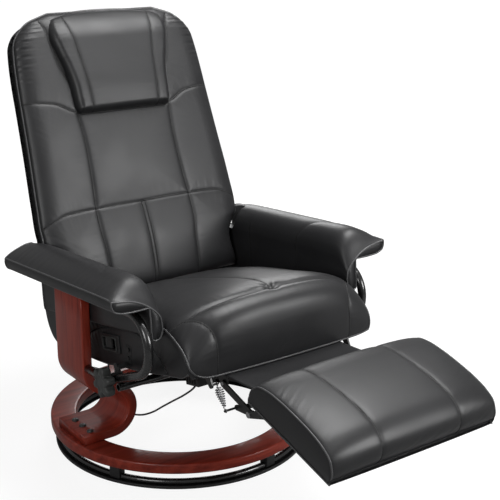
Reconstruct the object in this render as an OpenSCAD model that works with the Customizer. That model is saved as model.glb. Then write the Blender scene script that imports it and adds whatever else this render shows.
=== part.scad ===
// Swivel recliner with a ring base, bentwood legs and a fold-out footrest.
// Frame: origin on the floor at the middle of the base ring, +Z up. The sitter
// faces -Y, so -X is the sitter's right and +X the sitter's left.
// It is drawn with the footrest out and the back at its upright stop.

/* [Base ring] */
// Outside diameter of the glide strip on the floor
floor_d = 640; // [600:5:700]
// Diameter of the steel tube that the chair turns on
floor_tube_d = 16; // [12:1:18]
// Thickness of the plastic glide strip under the tube
glide_t = 3; // [2:0.5:5]
// Outside diameter of the wooden ring
wood_ring_d = 660; // [640:5:680]
// Radial width of the wooden ring
wood_ring_w = 65; // [60:1:75]
// Thickness of the wooden ring
wood_ring_t = 26; // [22:1:30]
// Height of the wooden ring's underside above the floor
wood_ring_z = 43; // [40:1:48]
// Number of swivel shoes under the wooden ring
shoe_count = 5; // [4:1:8]

/* [Legs] */
// Distance from the middle to the outer face of a leg
leg_out_x = 308; // [300:1:316]
// Thickness of the bent strip
leg_t = 23; // [20:1:26]
// Width of the bent strip
leg_w = 132; // [110:2:150]
// Outside radius of the lower turn
leg_turn_r = 68; // [60:1:76]
// Inside radius of the upper bend
leg_bend_r = 48; // [40:1:56]
// Spacing of the foot screws
foot_pitch = 37; // [30:1:40]

/* [Arms] */
// Height of the arm board's top at the front end
arm_z = 484; // [470:1:500]
// Slope of the arms, front end up
arm_slope = 4.5; // [2:0.5:7]
// How far the arm pad reaches forward of the middle
arm_front_y = 322; // [300:1:340]
// Length of the arm pad along its slope
arm_len = 512; // [470:2:540]
// Thickness of the arm board
arm_board_t = 10; // [8:1:12]
// Diameter of the bent side tube
side_tube_d = 20; // [16:1:22]
// Radius of the side tube's front bend
side_bend_r = 69.5; // [60:0.5:75]
// Slope of the run that the seat glides on
glide_angle = 23.5; // [18:0.5:26]

/* [Seat] */
// Tilt of the seat, front edge up
seat_tilt = 11.7; // [8:0.1:14]
// Width over the side panels
seat_w = 500; // [480:2:506]
// Depth from the rear rail to the front of the frame
seat_depth = 488; // [460:2:496]
// Thickness of the side panels
panel_t = 12; // [8:1:14]
// Height of the seat frame's rails
rail_h = 40; // [34:1:44]
// Height of the cushion's side edge above the panel's lower edge
seat_side_h = 103; // [96:1:110]
// Height of the cushion's crown above the same edge
seat_crown_h = 158; // [140:1:170]

/* [Back] */
// Lean of the back from upright
back_tilt = 19.5; // [14:0.5:24]
// Height of the recline pivot above the floor
back_pivot_z = 345; // [335:1:350]
// Width of the back above the arms
back_w = 574; // [550:2:578]
// Width of the back between the arms
back_low_w = 500; // [480:2:506]
// Height of the back above its pivot, along its slope
back_h = 718; // [690:2:740]
// Radius of the rounded lower end about the pivot
heel_r = 105; // [95:1:108]
// Diameter of the recline pivot pins
back_pin_d = 12; // [10:1:14]

/* [Footrest] */
// Length of the pad
pad_len = 258; // [240:2:262]
// Width of the pad
pad_w = 432; // [380:2:440]
// Height of the pad's side edge
pad_side_h = 43; // [38:1:50]
// Height of the pad's crown
pad_crown_h = 72; // [60:1:78]
// Downward slope of the open pad
pad_slope = 16; // [12:0.5:20]
// Length of the arm from the seat to the elbow
rest_arm_len = 108; // [104:1:112]
// Length of the link from the elbow to the pad
rest_link_len = 108; // [105:1:112]
// Diameter of the linkage pins
link_pin_d = 8; // [6:0.5:9]
// Thickness of the linkage bars
link_t = 4; // [3:0.5:5]

/* [Controls] */
// Overall diameter of the star knobs
knob_d = 76; // [64:1:80]
// Thickness of the star knobs
knob_t = 24; // [18:1:28]
// Length of the release lever's flap
lever_len = 25; // [20:1:30]
// Diameter of the release cable
cable_d = 4.5; // [3:0.5:6]

/* [Hidden] */

$fn = 64;
eps = 0.01;
fit = 0.15;          // radial play of a pin in its bore
seat_gap = 0.3;      // air left between a soft part and what carries it

black = [0.07, 0.07, 0.08];
leather = [0.2, 0.2, 0.21];
wood = [0.45, 0.17, 0.12];
steel = [0.7, 0.7, 0.72];
grey = [0.25, 0.26, 0.26];

// ---- base -----------------------------------------------------------------
floor_tube_R = floor_d / 2 - 17;
floor_tube_z = glide_t + floor_tube_d / 2;
wood_top = wood_ring_z + wood_ring_t;
wood_in_r = wood_ring_d / 2 - wood_ring_w;
shoe_w = 28;
shoe_rad = 24;
shoe_bottom = glide_t + 5.5;
shoe_start = 9;
stud_d = 6;
lip_w = 5;
lip_h = 4;

// ---- legs -----------------------------------------------------------------
leg_mid_x = leg_out_x - leg_t / 2;
leg_in_x = leg_out_x - leg_t;
bend_x = leg_in_x - leg_bend_r;
turn_z = wood_top + leg_turn_r;
bend_z = turn_z + leg_turn_r + leg_bend_r;
foot_top = wood_top + leg_t;
foot_end_r = floor_d / 2;
foot_screw_x = 289;
foot_screw_y0 = -10;
foot_screw_d = 8;
cap_d = 17;
counterbore_d = 16;
counterbore_h = 8;

// ---- arms and side tubes ----------------------------------------------------
arm_board_top = -seat_gap;
arm_tube_drop = arm_board_top - arm_board_t - side_tube_d / 2;
arm_board_w = 35;
arm_back_cut = 64;
arm_back_step = 10;
side_bend_y = -271;
tube_wall = 2;
tube_stud_d = 8;
tube_stud_len = 24;
side_top_z = arm_z + arm_tube_drop / cos(arm_slope)
           - (side_bend_y + arm_front_y) * tan(arm_slope);
side_bend_z = side_top_z - side_bend_r / cos(arm_slope);
tube_end_y = -leg_w / 2;
// lower tangent point of the front bend, and the run down from it
run_y0 = side_bend_y - side_bend_r * sin(glide_angle);
run_z0 = side_bend_z - side_bend_r * cos(glide_angle);
function run_z(y) = run_z0 - (y - run_y0) * tan(glide_angle);
knee_r = 60;
low_y = -150;
low_z = run_z(low_y);
knee_t = knee_r * tan(glide_angle / 2);
knee_c = [low_y + knee_t, low_z + knee_r];
side_bend_c = [side_bend_y, side_bend_z];
function arc_pt(c, r, a) = c + r * [cos(a), sin(a)];
side_tube_route = concat(
    [[tube_end_y, tube_top_end_z()]],
    [for (i = [0:20]) arc_pt(side_bend_c, side_bend_r, 90 - arm_slope + i * (180 - glide_angle + arm_slope) / 20)],
    [for (i = [0:4]) arc_pt(knee_c, knee_r, 270 - glide_angle + i * glide_angle / 4)],
    [[tube_end_y, low_z]]
);
cross_y = -205;
cross_d = 18;
clamp_y = -193;
clamp_z = run_z(clamp_y);

// ---- seat -------------------------------------------------------------------
seat_y0 = 20;
seat_z0 = 253;
frame_w = seat_w - 2 * panel_t - 2 * seat_gap;
frame_bottom = 12;
frame_rear = -48;
frame_front = frame_rear + seat_depth;
rail_t = 30;
web_t = 2;
cushion_base = frame_bottom + rail_h + web_t + seat_gap;
front_wrap = 15;
lever_u0 = 93;
lever_u1 = 178;
lever_w0 = 27;
lever_w1 = 69;
recess_u0 = 101;
recess_u1 = 161;
recess_w0 = 31;
recess_w1 = 61;
// a point of the seat given by its distance forward and up, in the world's Y and Z
function seat_pt(u, w) = [
    seat_y0 - u * cos(seat_tilt) + w * sin(seat_tilt),
    seat_z0 + u * sin(seat_tilt) + w * cos(seat_tilt)
];

// ---- back -------------------------------------------------------------------
back_pivot_y = 131;
back_face = 32;
cushion_rear = 22;
wing_z = 152;
pillow_z = back_h - 250;
shell_side = 490;
shell_t = 10;
shell_top_y = 76;
hinge_x = 207;
hinge_t = 5;
frame_bar = 24;
back_rails = [36, 210, 400, back_h - 118];
shoulder_z = back_h - 78;

// ---- footrest ---------------------------------------------------------------
rest_a = [-395, 303];
pad_corner = [-582, 346];
pad_pin_u = 29;
pad_pin_w = -34;
function pad_pt(u, w) = [
    pad_corner[0] - u * cos(pad_slope) - w * sin(pad_slope),
    pad_corner[1] - u * sin(pad_slope) + w * cos(pad_slope)
];
rest_b = pad_pt(pad_pin_u, pad_pin_w);
rest_gap = norm(rest_b - rest_a);
rest_foot = (rest_arm_len * rest_arm_len - rest_link_len * rest_link_len + rest_gap * rest_gap)
          / (2 * rest_gap);
rest_drop = sqrt(rest_arm_len * rest_arm_len - rest_foot * rest_foot);
rest_dir = (rest_b - rest_a) / rest_gap;
rest_e = rest_a + rest_dir * rest_foot + [rest_dir[1], -rest_dir[0]] * -rest_drop;
mount_x = 140;
mount_u = 375;
bar_w = 16;
bar_gap = 0.5;
arm_x = mount_x + link_t + bar_gap;
link_x = arm_x + link_t + bar_gap;
pad_bracket_x = link_x + link_t + bar_gap;
pin_head_t = 3;
link_bore = link_pin_d + 2 * fit;
cross_rod_d = 12;
cross_rod_at = 0.78;
pad_board_t = 10;
pad_board_inset = 12;
apron_half = 182;
apron_t = 4;
spring_x = 175;
spring_d = 25;
spring_pin_d = 5;
spring_top = [-414, 317];
spring_low = [-446, 266];

// ---- controls ---------------------------------------------------------------
clamp_t = 4;
clamp_len = 30;
clamp_play = 0.7;
clamp_in = leg_mid_x - side_tube_d / 2 - clamp_play;
clamp_out = leg_mid_x + side_tube_d / 2 + clamp_play;
knob_x0 = clamp_out + clamp_t + 0.6;
bracket_y = clamp_y;
bracket_w = 22;
bracket_fold_z = clamp_z + 20;
bracket_top_z = clamp_z + 66;
knob_stud_d = 8;
lever_t = 4;
lever_pin_d = 3;
lever_pivot_u = recess_u0 + 3.5;
lever_x = seat_w / 2;
housing_depth = 34;
housing_wall = 2.5;
latch_x = 145;
latch_w = 46;
latch_u = 300;
latch_len = 50;
latch_low = -48;
latch_lip = 8;

// The release cable leaves the lever housing, drops behind the leg and rises to the latch.
cable_route = [
    [-216, -81, 309], [-204, -80, 308], [-193, -74, 302], [-184, -62, 288],
    [-178, -40, 270], [-172, -5, 256], [-167, 35, 245], [-162, 68, 228],
    [-159, 86, 200], [-158, 90, 165], [-158, 82, 130], [-158, 60, 104],
    [-158, 25, 90], [-159, -15, 90], [-161, -55, 102], [-161, -90, 117],
    [-161, -130, 140], [-161, -170, 168], [-160, -215, 199], [-160, -255, 226],
    [-160, -292, 254], [-160, -312, 274]
];

// ---- helpers ----------------------------------------------------------------
// Outline in Y and Z, pushed along X from x0 to x1.
module along_x(x0, x1) {
    translate([x0, 0, 0]) rotate([90, 0, 90]) linear_extrude(x1 - x0) children();
}

// Outline in X and Z, pushed along Y from y0 to y1.
module along_y(y0, y1) {
    translate([0, y1, 0]) rotate([90, 0, 0]) linear_extrude(y1 - y0) children();
}

// Pin or bore along X.
module rod_x(x0, x1, d) {
    translate([x0, 0, 0]) rotate([0, 90, 0]) cylinder(h = x1 - x0, d = d);
}

module both_sides() {
    children();
    mirror([1, 0, 0]) children();
}

module seat_place() {
    translate([0, seat_y0, seat_z0]) rotate([-seat_tilt, 0, 0]) children();
}

module back_place() {
    translate([0, back_pivot_y, back_pivot_z]) rotate([-back_tilt, 0, 0]) children();
}

module pad_place() {
    translate([0, pad_corner[0], pad_corner[1]]) rotate([pad_slope, 0, 0]) children();
}

module arm_place() {
    translate([0, -arm_front_y, arm_z]) rotate([-arm_slope, 0, 0]) children();
}

// Closed solid through rings that hold the same number of points each.
module loft(rings) {
    n = len(rings[0]);
    m = len(rings);
    points = [for (ring = rings) each ring];
    faces = concat(
        [[for (i = [0:n - 1]) i]],
        [for (j = [0:m - 2]) for (i = [0:n - 1])
            each [[j * n + i, (j + 1) * n + i, (j + 1) * n + (i + 1) % n],
                  [j * n + i, (j + 1) * n + (i + 1) % n, j * n + (i + 1) % n]]],
        [[for (i = [n - 1:-1:0]) (m - 1) * n + i]]
    );
    polyhedron(points, faces, convexity = 4);
}

// Crowned section across X at one place along the part, u forward of its own zero.
function crown_ring(u, half_w, base_h, side_h, crown_h, base_half, steps = 14) = concat(
    [[base_half, -u, base_h]],
    [for (i = [0:steps]) let (t = 1 - 2 * i / steps)
        [half_w * t, -u, side_h + (crown_h - side_h) * pow(1 - t * t, 0.8)]],
    [[-base_half, -u, base_h]]
);

// ---- base -------------------------------------------------------------------
module floor_tube_ring() {
    color(black)
        translate([0, 0, floor_tube_z])
            rotate_extrude($fn = 180)
                translate([floor_tube_R, 0]) circle(d = floor_tube_d, $fn = 32);
}

module glide_strip() {
    color(black)
        rotate_extrude($fn = 180) {
            translate([floor_d / 2 - 29, 0]) square([29, glide_t]);
            translate([floor_d / 2 - lip_w, 0]) square([lip_w, glide_t + lip_h]);
        }
}

module wood_ring() {
    color(wood)
        difference() {
            translate([0, 0, wood_ring_z])
                rotate_extrude($fn = 180)
                    translate([wood_in_r, 0]) square([wood_ring_w, wood_ring_t]);
            at_shoes() stud_shape(stud_d + 2 * fit);
            both_sides() at_foot_screws()
                translate([0, 0, wood_ring_z + 5])
                    cylinder(h = wood_ring_t, d = foot_screw_d + 2 * fit);
        }
}

module at_shoes() {
    for (i = [0:shoe_count - 1])
        rotate([0, 0, -(shoe_start + i * 360 / shoe_count)])
            translate([floor_tube_R, 0, 0]) children();
}

// Stud through a shoe's top into the ring, shorter than its hole by the play at both ends.
module stud_shape(d, play = 0) {
    translate([0, 0, wood_ring_z - 14 + play]) cylinder(h = 30 - 2 * play, d = d);
}

module swivel_shoes() {
    color(black)
        difference() {
            at_shoes()
                translate([-shoe_rad / 2, -shoe_w / 2, shoe_bottom])
                    cube([shoe_rad, shoe_w, wood_ring_z - shoe_bottom]);
            translate([0, 0, floor_tube_z])
                rotate_extrude($fn = 180)
                    translate([floor_tube_R, 0]) circle(d = floor_tube_d + 2 * seat_gap, $fn = 32);
            at_shoes() stud_shape(stud_d + 2 * fit);
        }
}

module shoe_studs() {
    color(steel) at_shoes() stud_shape(stud_d, fit);
}

// ---- legs -------------------------------------------------------------------
// The bent strip seen from the front, for the sitter's left side.
module leg_outline() {
    translate([leg_in_x, bend_z]) square([leg_t, arm_z - bend_z]);
    translate([bend_x, bend_z])
        intersection() {
            difference() {
                circle(r = leg_bend_r + leg_t);
                circle(r = leg_bend_r);
            }
            translate([0, -200]) square([200, 200]);
        }
    translate([bend_x, turn_z])
        intersection() {
            difference() {
                circle(r = leg_turn_r);
                circle(r = leg_turn_r - leg_t);
            }
            translate([-200, -200]) square([200, 400]);
        }
    translate([bend_x, wood_top]) square([foot_end_r - bend_x, leg_t]);
}

module at_foot_screws() {
    for (i = [-1:1])
        translate([foot_screw_x, foot_screw_y0 + i * foot_pitch, 0]) children();
}

module at_arm_screws() {
    for (s = [-1, 1])
        translate([leg_mid_x, arm_front_y + s * leg_w / 4, 0]) children();
}

// Stud welded to a tube's end, screwed into the leg's front edge.
module tube_stud_shape(d, length) {
    translate([leg_mid_x, tube_end_y, 0]) rotate([-90, 0, 0]) cylinder(h = length, d = d);
}

module at_tube_ends() {
    for (z = [low_z, tube_top_end_z()]) translate([0, 0, z]) children();
}

function tube_top_end_z() = side_top_z - (tube_end_y - side_bend_y) * tan(arm_slope);

module leg() {
    color(wood)
        difference() {
            intersection() {
                along_y(-leg_w / 2, leg_w / 2) leg_outline();
                translate([0, 0, -1]) cylinder(r = foot_end_r, h = foot_top + 1 + leg_turn_r + 400, $fn = 180);
            }
            arm_place() translate([0, -100, arm_board_top - arm_board_t]) cube([500, 700, 200]);
            at_foot_screws() {
                translate([0, 0, wood_ring_z]) cylinder(h = 80, d = foot_screw_d + 2 * fit);
                translate([0, 0, foot_top - counterbore_h]) cylinder(h = 20, d = counterbore_d);
            }
            arm_place() at_arm_screws()
                translate([0, 0, -45]) cylinder(h = 60, d = 5 + 2 * fit);
            at_tube_ends() tube_stud_shape(tube_stud_d + 2 * fit, tube_stud_len + 1);
        }
}

module leg_left() {
    leg();
}

module leg_right() {
    mirror([1, 0, 0]) leg();
}

module foot_screws() {
    color(steel)
        both_sides() at_foot_screws() {
            translate([0, 0, wood_ring_z + 6])
                cylinder(h = foot_top - counterbore_h - wood_ring_z - 6, d = foot_screw_d);
            translate([0, 0, foot_top - counterbore_h]) cylinder(h = 5, d = counterbore_d - 1);
        }
}

module foot_caps() {
    color(grey)
        both_sides() at_foot_screws() {
            translate([0, 0, foot_top - counterbore_h + 5.1])
                cylinder(h = counterbore_h - 5.1 + eps, d = counterbore_d - 0.4);
            translate([0, 0, foot_top]) cylinder(h = 2.5, d = cap_d);
            translate([0, 0, foot_top + 2.5 - eps]) cylinder(h = 2.2, d1 = cap_d, d2 = cap_d - 5, $fn = 32);
        }
}

// ---- side tubes -------------------------------------------------------------
function in_leg_plane(p) = [leg_mid_x, p[0], p[1]];

// Ring of points square to the path, which stays in the plane of the leg.
function plane_ring(p, i, r, sides) =
    let (t = i == 0 || i == len(p) - 1 ? [0, i == 0 ? -1 : 1, 0] : tangent(p, i), up = cross([1, 0, 0], t))
    [for (k = [0:sides - 1]) let (a = 360 * k / sides) p[i] + r * (cos(a) * [1, 0, 0] + sin(a) * up)];

module side_tube() {
    route = [for (p = side_tube_route) in_leg_plane(p)];
    color(black)
        loft([for (i = [len(route) - 1:-1:0]) plane_ring(route, i, side_tube_d / 2, 20)]);
}

module side_tube_left() {
    side_tube();
}

module side_tube_right() {
    mirror([1, 0, 0]) side_tube();
}

module tube_studs() {
    color(steel) both_sides() at_tube_ends() tube_stud_shape(tube_stud_d, tube_stud_len);
}

module cross_tube() {
    z = run_z(cross_y) - ((side_tube_d + cross_d) / 2 + seat_gap) / cos(glide_angle);
    color(black)
        difference() {
            translate([0, cross_y, z]) rod_x(-leg_mid_x, leg_mid_x, cross_d);
            translate([0, cross_y, z]) rod_x(-leg_mid_x - 1, leg_mid_x + 1, cross_d - 2 * tube_wall);
        }
}

// ---- arms -------------------------------------------------------------------
module arm_board() {
    color(wood)
        difference() {
            arm_place()
                translate([leg_in_x, 28, arm_board_top - arm_board_t])
                    linear_extrude(arm_board_t) offset(r = 12) offset(delta = -12)
                        square([arm_board_w, arm_len - 96]);
            arm_place() at_arm_screws()
                translate([0, 0, -30]) cylinder(h = 40, d = 5 + 2 * fit);
        }
}

module arm_board_left() {
    arm_board();
}

module arm_board_right() {
    mirror([1, 0, 0]) arm_board();
}

module arm_screws() {
    color(steel)
        both_sides() arm_place() at_arm_screws()
            translate([0, 0, arm_board_top - 42]) cylinder(h = 42, d = 5);
}

// Half of the gull-wing section: crest over the board, outer tip, inner panel that hangs down.
arm_section = [
    [257, -10], [257, 14], [261, 32], [269, 47], [282, 58], [300, 63], [318, 62], [338, 56], [356, 48],
    [372, 39], [373, 30], [368, 18], [354, 8], [330, 1], [300, 0], [284, 0],
    [283, -30], [283, -114], [274, -124], [264, -123], [258, -100]
];

module arm_pad() {
    color(leather)
        arm_place()
            difference() {
                intersection() {
                    translate([0, arm_len - 6, 0]) along_y_local(arm_len) polygon(arm_section);
                    along_x(0, 400) arm_side_outline();
                }
                translate([200, arm_len - arm_back_cut, arm_back_step]) cube([91, 200, 400]);
            }
}

// Side view of the pad: its crest drops at both ends, the inner panel hangs lower at the rear.
module arm_side_outline() {
    polygon([[-6, -73], [-6, 26], [4, 36], [18, 46], [38, 56], [66, 63],
             [arm_len - 60, 63], [arm_len - 30, 56], [arm_len - 6, 42], [arm_len - 6, -122],
             [200, -84], [80, -73]]);
}

module along_y_local(length) {
    rotate([90, 0, 0]) linear_extrude(length) children();
}

module arm_pad_left() {
    arm_pad();
}

module arm_pad_right() {
    mirror([1, 0, 0]) arm_pad();
}

// ---- seat -------------------------------------------------------------------
module seat_box(x0, x1, u0, u1, w0, w1) {
    translate([x0, -u1, w0]) cube([x1 - x0, u1 - u0, w1 - w0]);
}

module seat_frame() {
    half = frame_w / 2;
    top = frame_bottom + rail_h;
    color(wood)
        seat_place()
            difference() {
                seat_box(-half, half, frame_rear, frame_front, frame_bottom, top);
                seat_box(-half + rail_t, half - rail_t, frame_rear + rail_t,
                         frame_front - rail_t, frame_bottom - 1, top + 1);
                seat_box(-half - 1, -half + rail_t + 1, lever_u0 - 1, lever_u1 + 1, lever_w0 - 3, top + 1);
            }
}

module seat_webbing() {
    top = frame_bottom + rail_h;
    color(black)
        seat_place()
            difference() {
                for (i = [0:4])
                    seat_box(-frame_w / 2 + 4, frame_w / 2 - 4, frame_rear + 34 + i * 92,
                             frame_rear + 84 + i * 92, top, top + web_t);
                housing_room();
            }
}

// Space that the lever housing takes inside the seat.
module housing_room() {
    air = housing_wall + seat_gap;
    seat_box(-lever_x - 1, -lever_x + housing_depth + seat_gap, recess_u0 - air, recess_u1 + air,
             0, recess_w1 + air);
}

// Rings of the cushion: forward place, side height, crown height, base height.
seat_rings = [
    [frame_rear, 98, seat_crown_h - 26, cushion_base],
    [60, seat_side_h, seat_crown_h - 18, cushion_base],
    [220, seat_side_h + 1, seat_crown_h - 6, cushion_base],
    [345, seat_side_h + 1, seat_crown_h - 2, cushion_base],
    [395, seat_side_h, seat_crown_h - 6, cushion_base],
    [frame_front - 16, 84, 136, cushion_base],
    [frame_front + seat_gap, 62, 112, cushion_base],
    [frame_front + seat_gap + 0.2, 61.8, 111.8, 0],
    [frame_front + 10, 34, 76, 0],
    [frame_front + front_wrap + 3, 14, 44, 0]
];

module seat_cushion() {
    half = seat_w / 2;
    color(leather)
        seat_place()
            difference() {
                loft([for (r = seat_rings) crown_ring(r[0], half, r[3], r[1], r[2], frame_w / 2)]);
                both_sides()
                    seat_box(frame_w / 2, half + 1, frame_rear - 1, frame_front + 60, -1, seat_side_h - 6);
                housing_room();
            }
}

module side_panel_outline() {
    polygon([
        [-frame_rear + 6, 0], [-frame_rear + 6, seat_side_h - 7],
        [-(frame_front - 25), seat_side_h - 7], [-(frame_front - 4), 60], [-frame_front, 0]
    ]);
}

module side_panel() {
    color(leather)
        seat_place() along_x(seat_w / 2 - panel_t, seat_w / 2) side_panel_outline();
}

module side_panel_left() {
    side_panel();
}

module side_panel_right() {
    color(leather)
        difference() {
            mirror([1, 0, 0]) side_panel();
            seat_place()
                seat_box(-seat_w / 2 - 1, -seat_w / 2 + panel_t + 1, recess_u0 - 3, recess_u1 + 3,
                         recess_w0 - 3, recess_w1 + 3);
        }
}

// ---- slide clamps and knobs -------------------------------------------------
module clamp_place() {
    translate([0, clamp_y, clamp_z]) rotate([-glide_angle, 0, 0]) children();
}

// Strip of steel from the side panel down to a yoke that straddles the side tube.
module seat_slide_bracket() {
    in0 = clamp_in - clamp_t;
    top = side_tube_d / 2 + clamp_play;
    color(black)
        difference() {
            union() {
                clamp_place() {
                    translate([in0, -clamp_len / 2, -8]) cube([clamp_t, clamp_len, top + 8 + clamp_t]);
                    translate([in0, -clamp_len / 2, top])
                        cube([clamp_out + clamp_t - in0, clamp_len, clamp_t]);
                    translate([clamp_out, -clamp_len / 2, -8]) cube([clamp_t, clamp_len, top + 8 + clamp_t]);
                }
                clamp_place() translate([in0, 0, 0]) cube([clamp_t, 15, 34]);
                bracket_upright(in0);
            }
            clamp_place() rod_x(clamp_out - 1, clamp_out + clamp_t + 1, knob_stud_d + 2 * fit);
            at_bracket_screws() rod_x(seat_w / 2 - 1, seat_w / 2 + clamp_t + 1, 5 + 2 * fit);
        }
}

module bracket_upright(in0) {
    translate([in0, bracket_y, clamp_z + 4]) cube([clamp_t, bracket_w, bracket_fold_z - clamp_z]);
    translate([seat_w / 2, bracket_y, bracket_fold_z])
        cube([in0 + clamp_t - seat_w / 2, bracket_w, clamp_t]);
    translate([seat_w / 2, bracket_y, bracket_fold_z])
        cube([clamp_t, bracket_w, bracket_top_z - bracket_fold_z]);
}

module at_bracket_screws() {
    for (z = [bracket_top_z - 10, bracket_top_z - 30])
        translate([0, bracket_y + bracket_w / 2, z]) children();
}

module seat_slide_bracket_left() {
    seat_slide_bracket();
}

module seat_slide_bracket_right() {
    mirror([1, 0, 0]) seat_slide_bracket();
}

module bracket_screws() {
    color(steel)
        both_sides() at_bracket_screws() {
            rod_x(seat_w / 2, seat_w / 2 + clamp_t, 5);
            rod_x(seat_w / 2 + clamp_t, seat_w / 2 + clamp_t + 3, 10);
        }
}

module knob() {
    lobes = 6;
    lobe_d = 22;
    color(grey)
        clamp_place()
            difference() {
                along_x(knob_x0, knob_x0 + knob_t)
                    offset(r = -3) offset(r = 3)
                        union() {
                            circle(d = knob_d - lobe_d, $fn = 48);
                            for (i = [0:lobes - 1])
                                rotate(i * 360 / lobes)
                                    translate([(knob_d - lobe_d) / 2, 0]) circle(d = lobe_d, $fn = 24);
                        }
                rod_x(knob_x0 - 1, knob_x0 + 14, knob_stud_d + 2 * fit);
            }
}

module knob_stud() {
    color(steel)
        clamp_place() rod_x(clamp_out - clamp_play + 0.3, knob_x0 + 13.5, knob_stud_d);
}

module knob_left() {
    knob();
}

module knob_right() {
    mirror([1, 0, 0]) knob();
}

module knob_stud_left() {
    knob_stud();
}

module knob_stud_right() {
    mirror([1, 0, 0]) knob_stud();
}

// ---- release lever ----------------------------------------------------------
module lever_housing() {
    color(black)
        difference() {
            seat_place() {
                seat_box(-lever_x - 5, -lever_x, lever_u0, lever_u1, lever_w0, lever_w1);
                seat_box(-lever_x, -lever_x + housing_depth, recess_u0 - housing_wall, recess_u1 + housing_wall,
                         recess_w0 - housing_wall, recess_w1 + housing_wall);
            }
            seat_place()
                seat_box(-lever_x - 6, -lever_x + housing_depth - housing_wall, recess_u0, recess_u1,
                         recess_w0, recess_w1);
            lever_axis() cylinder(h = 80, d = lever_pin_d + 2 * fit, center = true);
        }
}

module lever_axis() {
    seat_place()
        translate([-lever_x + 2, -lever_pivot_u, (recess_w0 + recess_w1) / 2]) children();
}

module release_lever() {
    color(grey)
        difference() {
            seat_place() {
                seat_box(-lever_x, -lever_x + lever_t, lever_pivot_u + 2, recess_u0 + lever_len + 3,
                         recess_w0 + 1, recess_w1 - 1);
                translate([-lever_x + 2, -lever_pivot_u, recess_w0 + 1])
                    cylinder(h = recess_w1 - recess_w0 - 2, r = 3);
            }
            lever_axis() cylinder(h = 80, d = lever_pin_d + 2 * fit, center = true);
        }
}

module lever_pin() {
    color(steel)
        lever_axis() cylinder(h = recess_w1 - recess_w0 + 4.6, d = lever_pin_d, center = true);
}

// ---- release cable ----------------------------------------------------------
function unit(v) = v / norm(v);
function tangent(p, i) = unit(p[min(i + 1, len(p) - 1)] - p[max(i - 1, 0)]);
// smooth curve through the route, a few rings between neighbouring points
function curve_pt(p, i, t) =
    let (n = len(p), a = p[max(i - 1, 0)], b = p[i], c = p[min(i + 1, n - 1)], d = p[min(i + 2, n - 1)])
    0.5 * (2 * b + (c - a) * t + (2 * a - 5 * b + 4 * c - d) * t * t
         + (3 * b - 3 * c + d - a) * t * t * t);
cable_curve = concat(
    [for (i = [0:len(cable_route) - 2]) for (k = [0:2]) curve_pt(cable_route, i, k / 3)],
    [cable_route[len(cable_route) - 1]]
);

function ring_at(p, i, r, sides) =
    let (t = tangent(p, i), side = unit(cross(t, [1, 0.15, 0.1])), up = cross(side, t))
    [for (k = [0:sides - 1]) let (a = 360 * k / sides) p[i] + r * (cos(a) * side + sin(a) * up)];

module release_cable() {
    color(black)
        loft([for (i = [len(cable_curve) - 1:-1:0]) ring_at(cable_curve, i, cable_d / 2, 8)]);
}

// ---- footrest mechanism -----------------------------------------------------
module latch_housing() {
    x0 = -latch_x - latch_w / 2;
    x1 = -latch_x + latch_w / 2;
    u1 = latch_u + latch_len;
    rib = 5;
    color(black)
        seat_place()
            difference() {
                union() {
                    seat_box(x0, x1, latch_u, u1, latch_low, frame_bottom);
                    seat_box(x0 - latch_lip, x1 + latch_lip, latch_u - latch_lip, u1 + latch_lip,
                             frame_bottom - 4, frame_bottom);
                }
                for (u = [latch_u + rib:2 * rib:u1 - 2 * rib])
                    seat_box(x0 - 1, x0 + 2, u, u + rib, latch_low + rib, frame_bottom - 9);
            }
}

module at_yz(p) {
    translate([0, p[0], p[1]]) children();
}

// Flat bar with round ends between two Y and Z points.
module bar_outline(a, b, w) {
    hull() {
        translate(a) circle(d = w, $fn = 32);
        translate(b) circle(d = w, $fn = 32);
    }
}

module link_bar(x0, a, b, d) {
    difference() {
        along_x(x0, x0 + link_t) bar_outline(a, b, bar_w);
        at_yz(a) rod_x(x0 - 1, x0 + link_t + 1, d);
        at_yz(b) rod_x(x0 - 1, x0 + link_t + 1, d);
    }
}

// Plate under the seat rail, from its front part down to a round end at point p.
module hanger(x0, x1, p, r, u0, u1) {
    along_x(x0, x1)
        hull() {
            translate(p) circle(r = r);
            polygon([seat_pt(u0, frame_bottom), seat_pt(u1, frame_bottom),
                     seat_pt(u1, frame_bottom - 8), seat_pt(u0, frame_bottom - 8)]);
        }
}

module footrest_mounts() {
    color(black)
        both_sides() {
            difference() {
                union() {
                    hanger(mount_x, mount_x + link_t, rest_a, 12, mount_u, frame_front - 6);
                    seat_place()
                        seat_box(mount_x - 24, mount_x + link_t, mount_u, frame_front - 6,
                                 frame_bottom - 3, frame_bottom);
                }
                at_yz(rest_a) rod_x(mount_x - 30, mount_x + 30, link_bore);
            }
        }
}

// Rivet through two bars, with a head on its inner end, its outer end or both.
module link_pin(p, x0, x1, inner, outer) {
    at_yz(p) {
        rod_x(x0 - 0.2, x1 + 0.2, link_pin_d);
        if (inner) rod_x(x0 - 0.2 - pin_head_t, x0 - 0.2, link_pin_d + 6);
        if (outer) rod_x(x1 + 0.2, x1 + 0.2 + pin_head_t, link_pin_d + 6);
    }
}

module mount_pins() {
    color(steel) both_sides() link_pin(rest_a, mount_x, arm_x + link_t, true, false);
}

// Each arm carries a tail that the spring pulls on.
module footrest_arms() {
    tail_x = arm_x + link_t;
    color(black)
        both_sides() {
            difference() {
                along_x(arm_x, tail_x) {
                    bar_outline(rest_a, rest_e, bar_w);
                    bar_outline(rest_e, spring_low, bar_w - 4);
                }
                at_yz(rest_a) rod_x(arm_x - 1, tail_x + 1, link_bore);
                at_yz(rest_e) rod_x(arm_x - 1, tail_x + 1, link_bore);
            }
            at_yz(spring_low) rod_x(tail_x - 1, spring_x + 4, spring_pin_d);
        }
}

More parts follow.
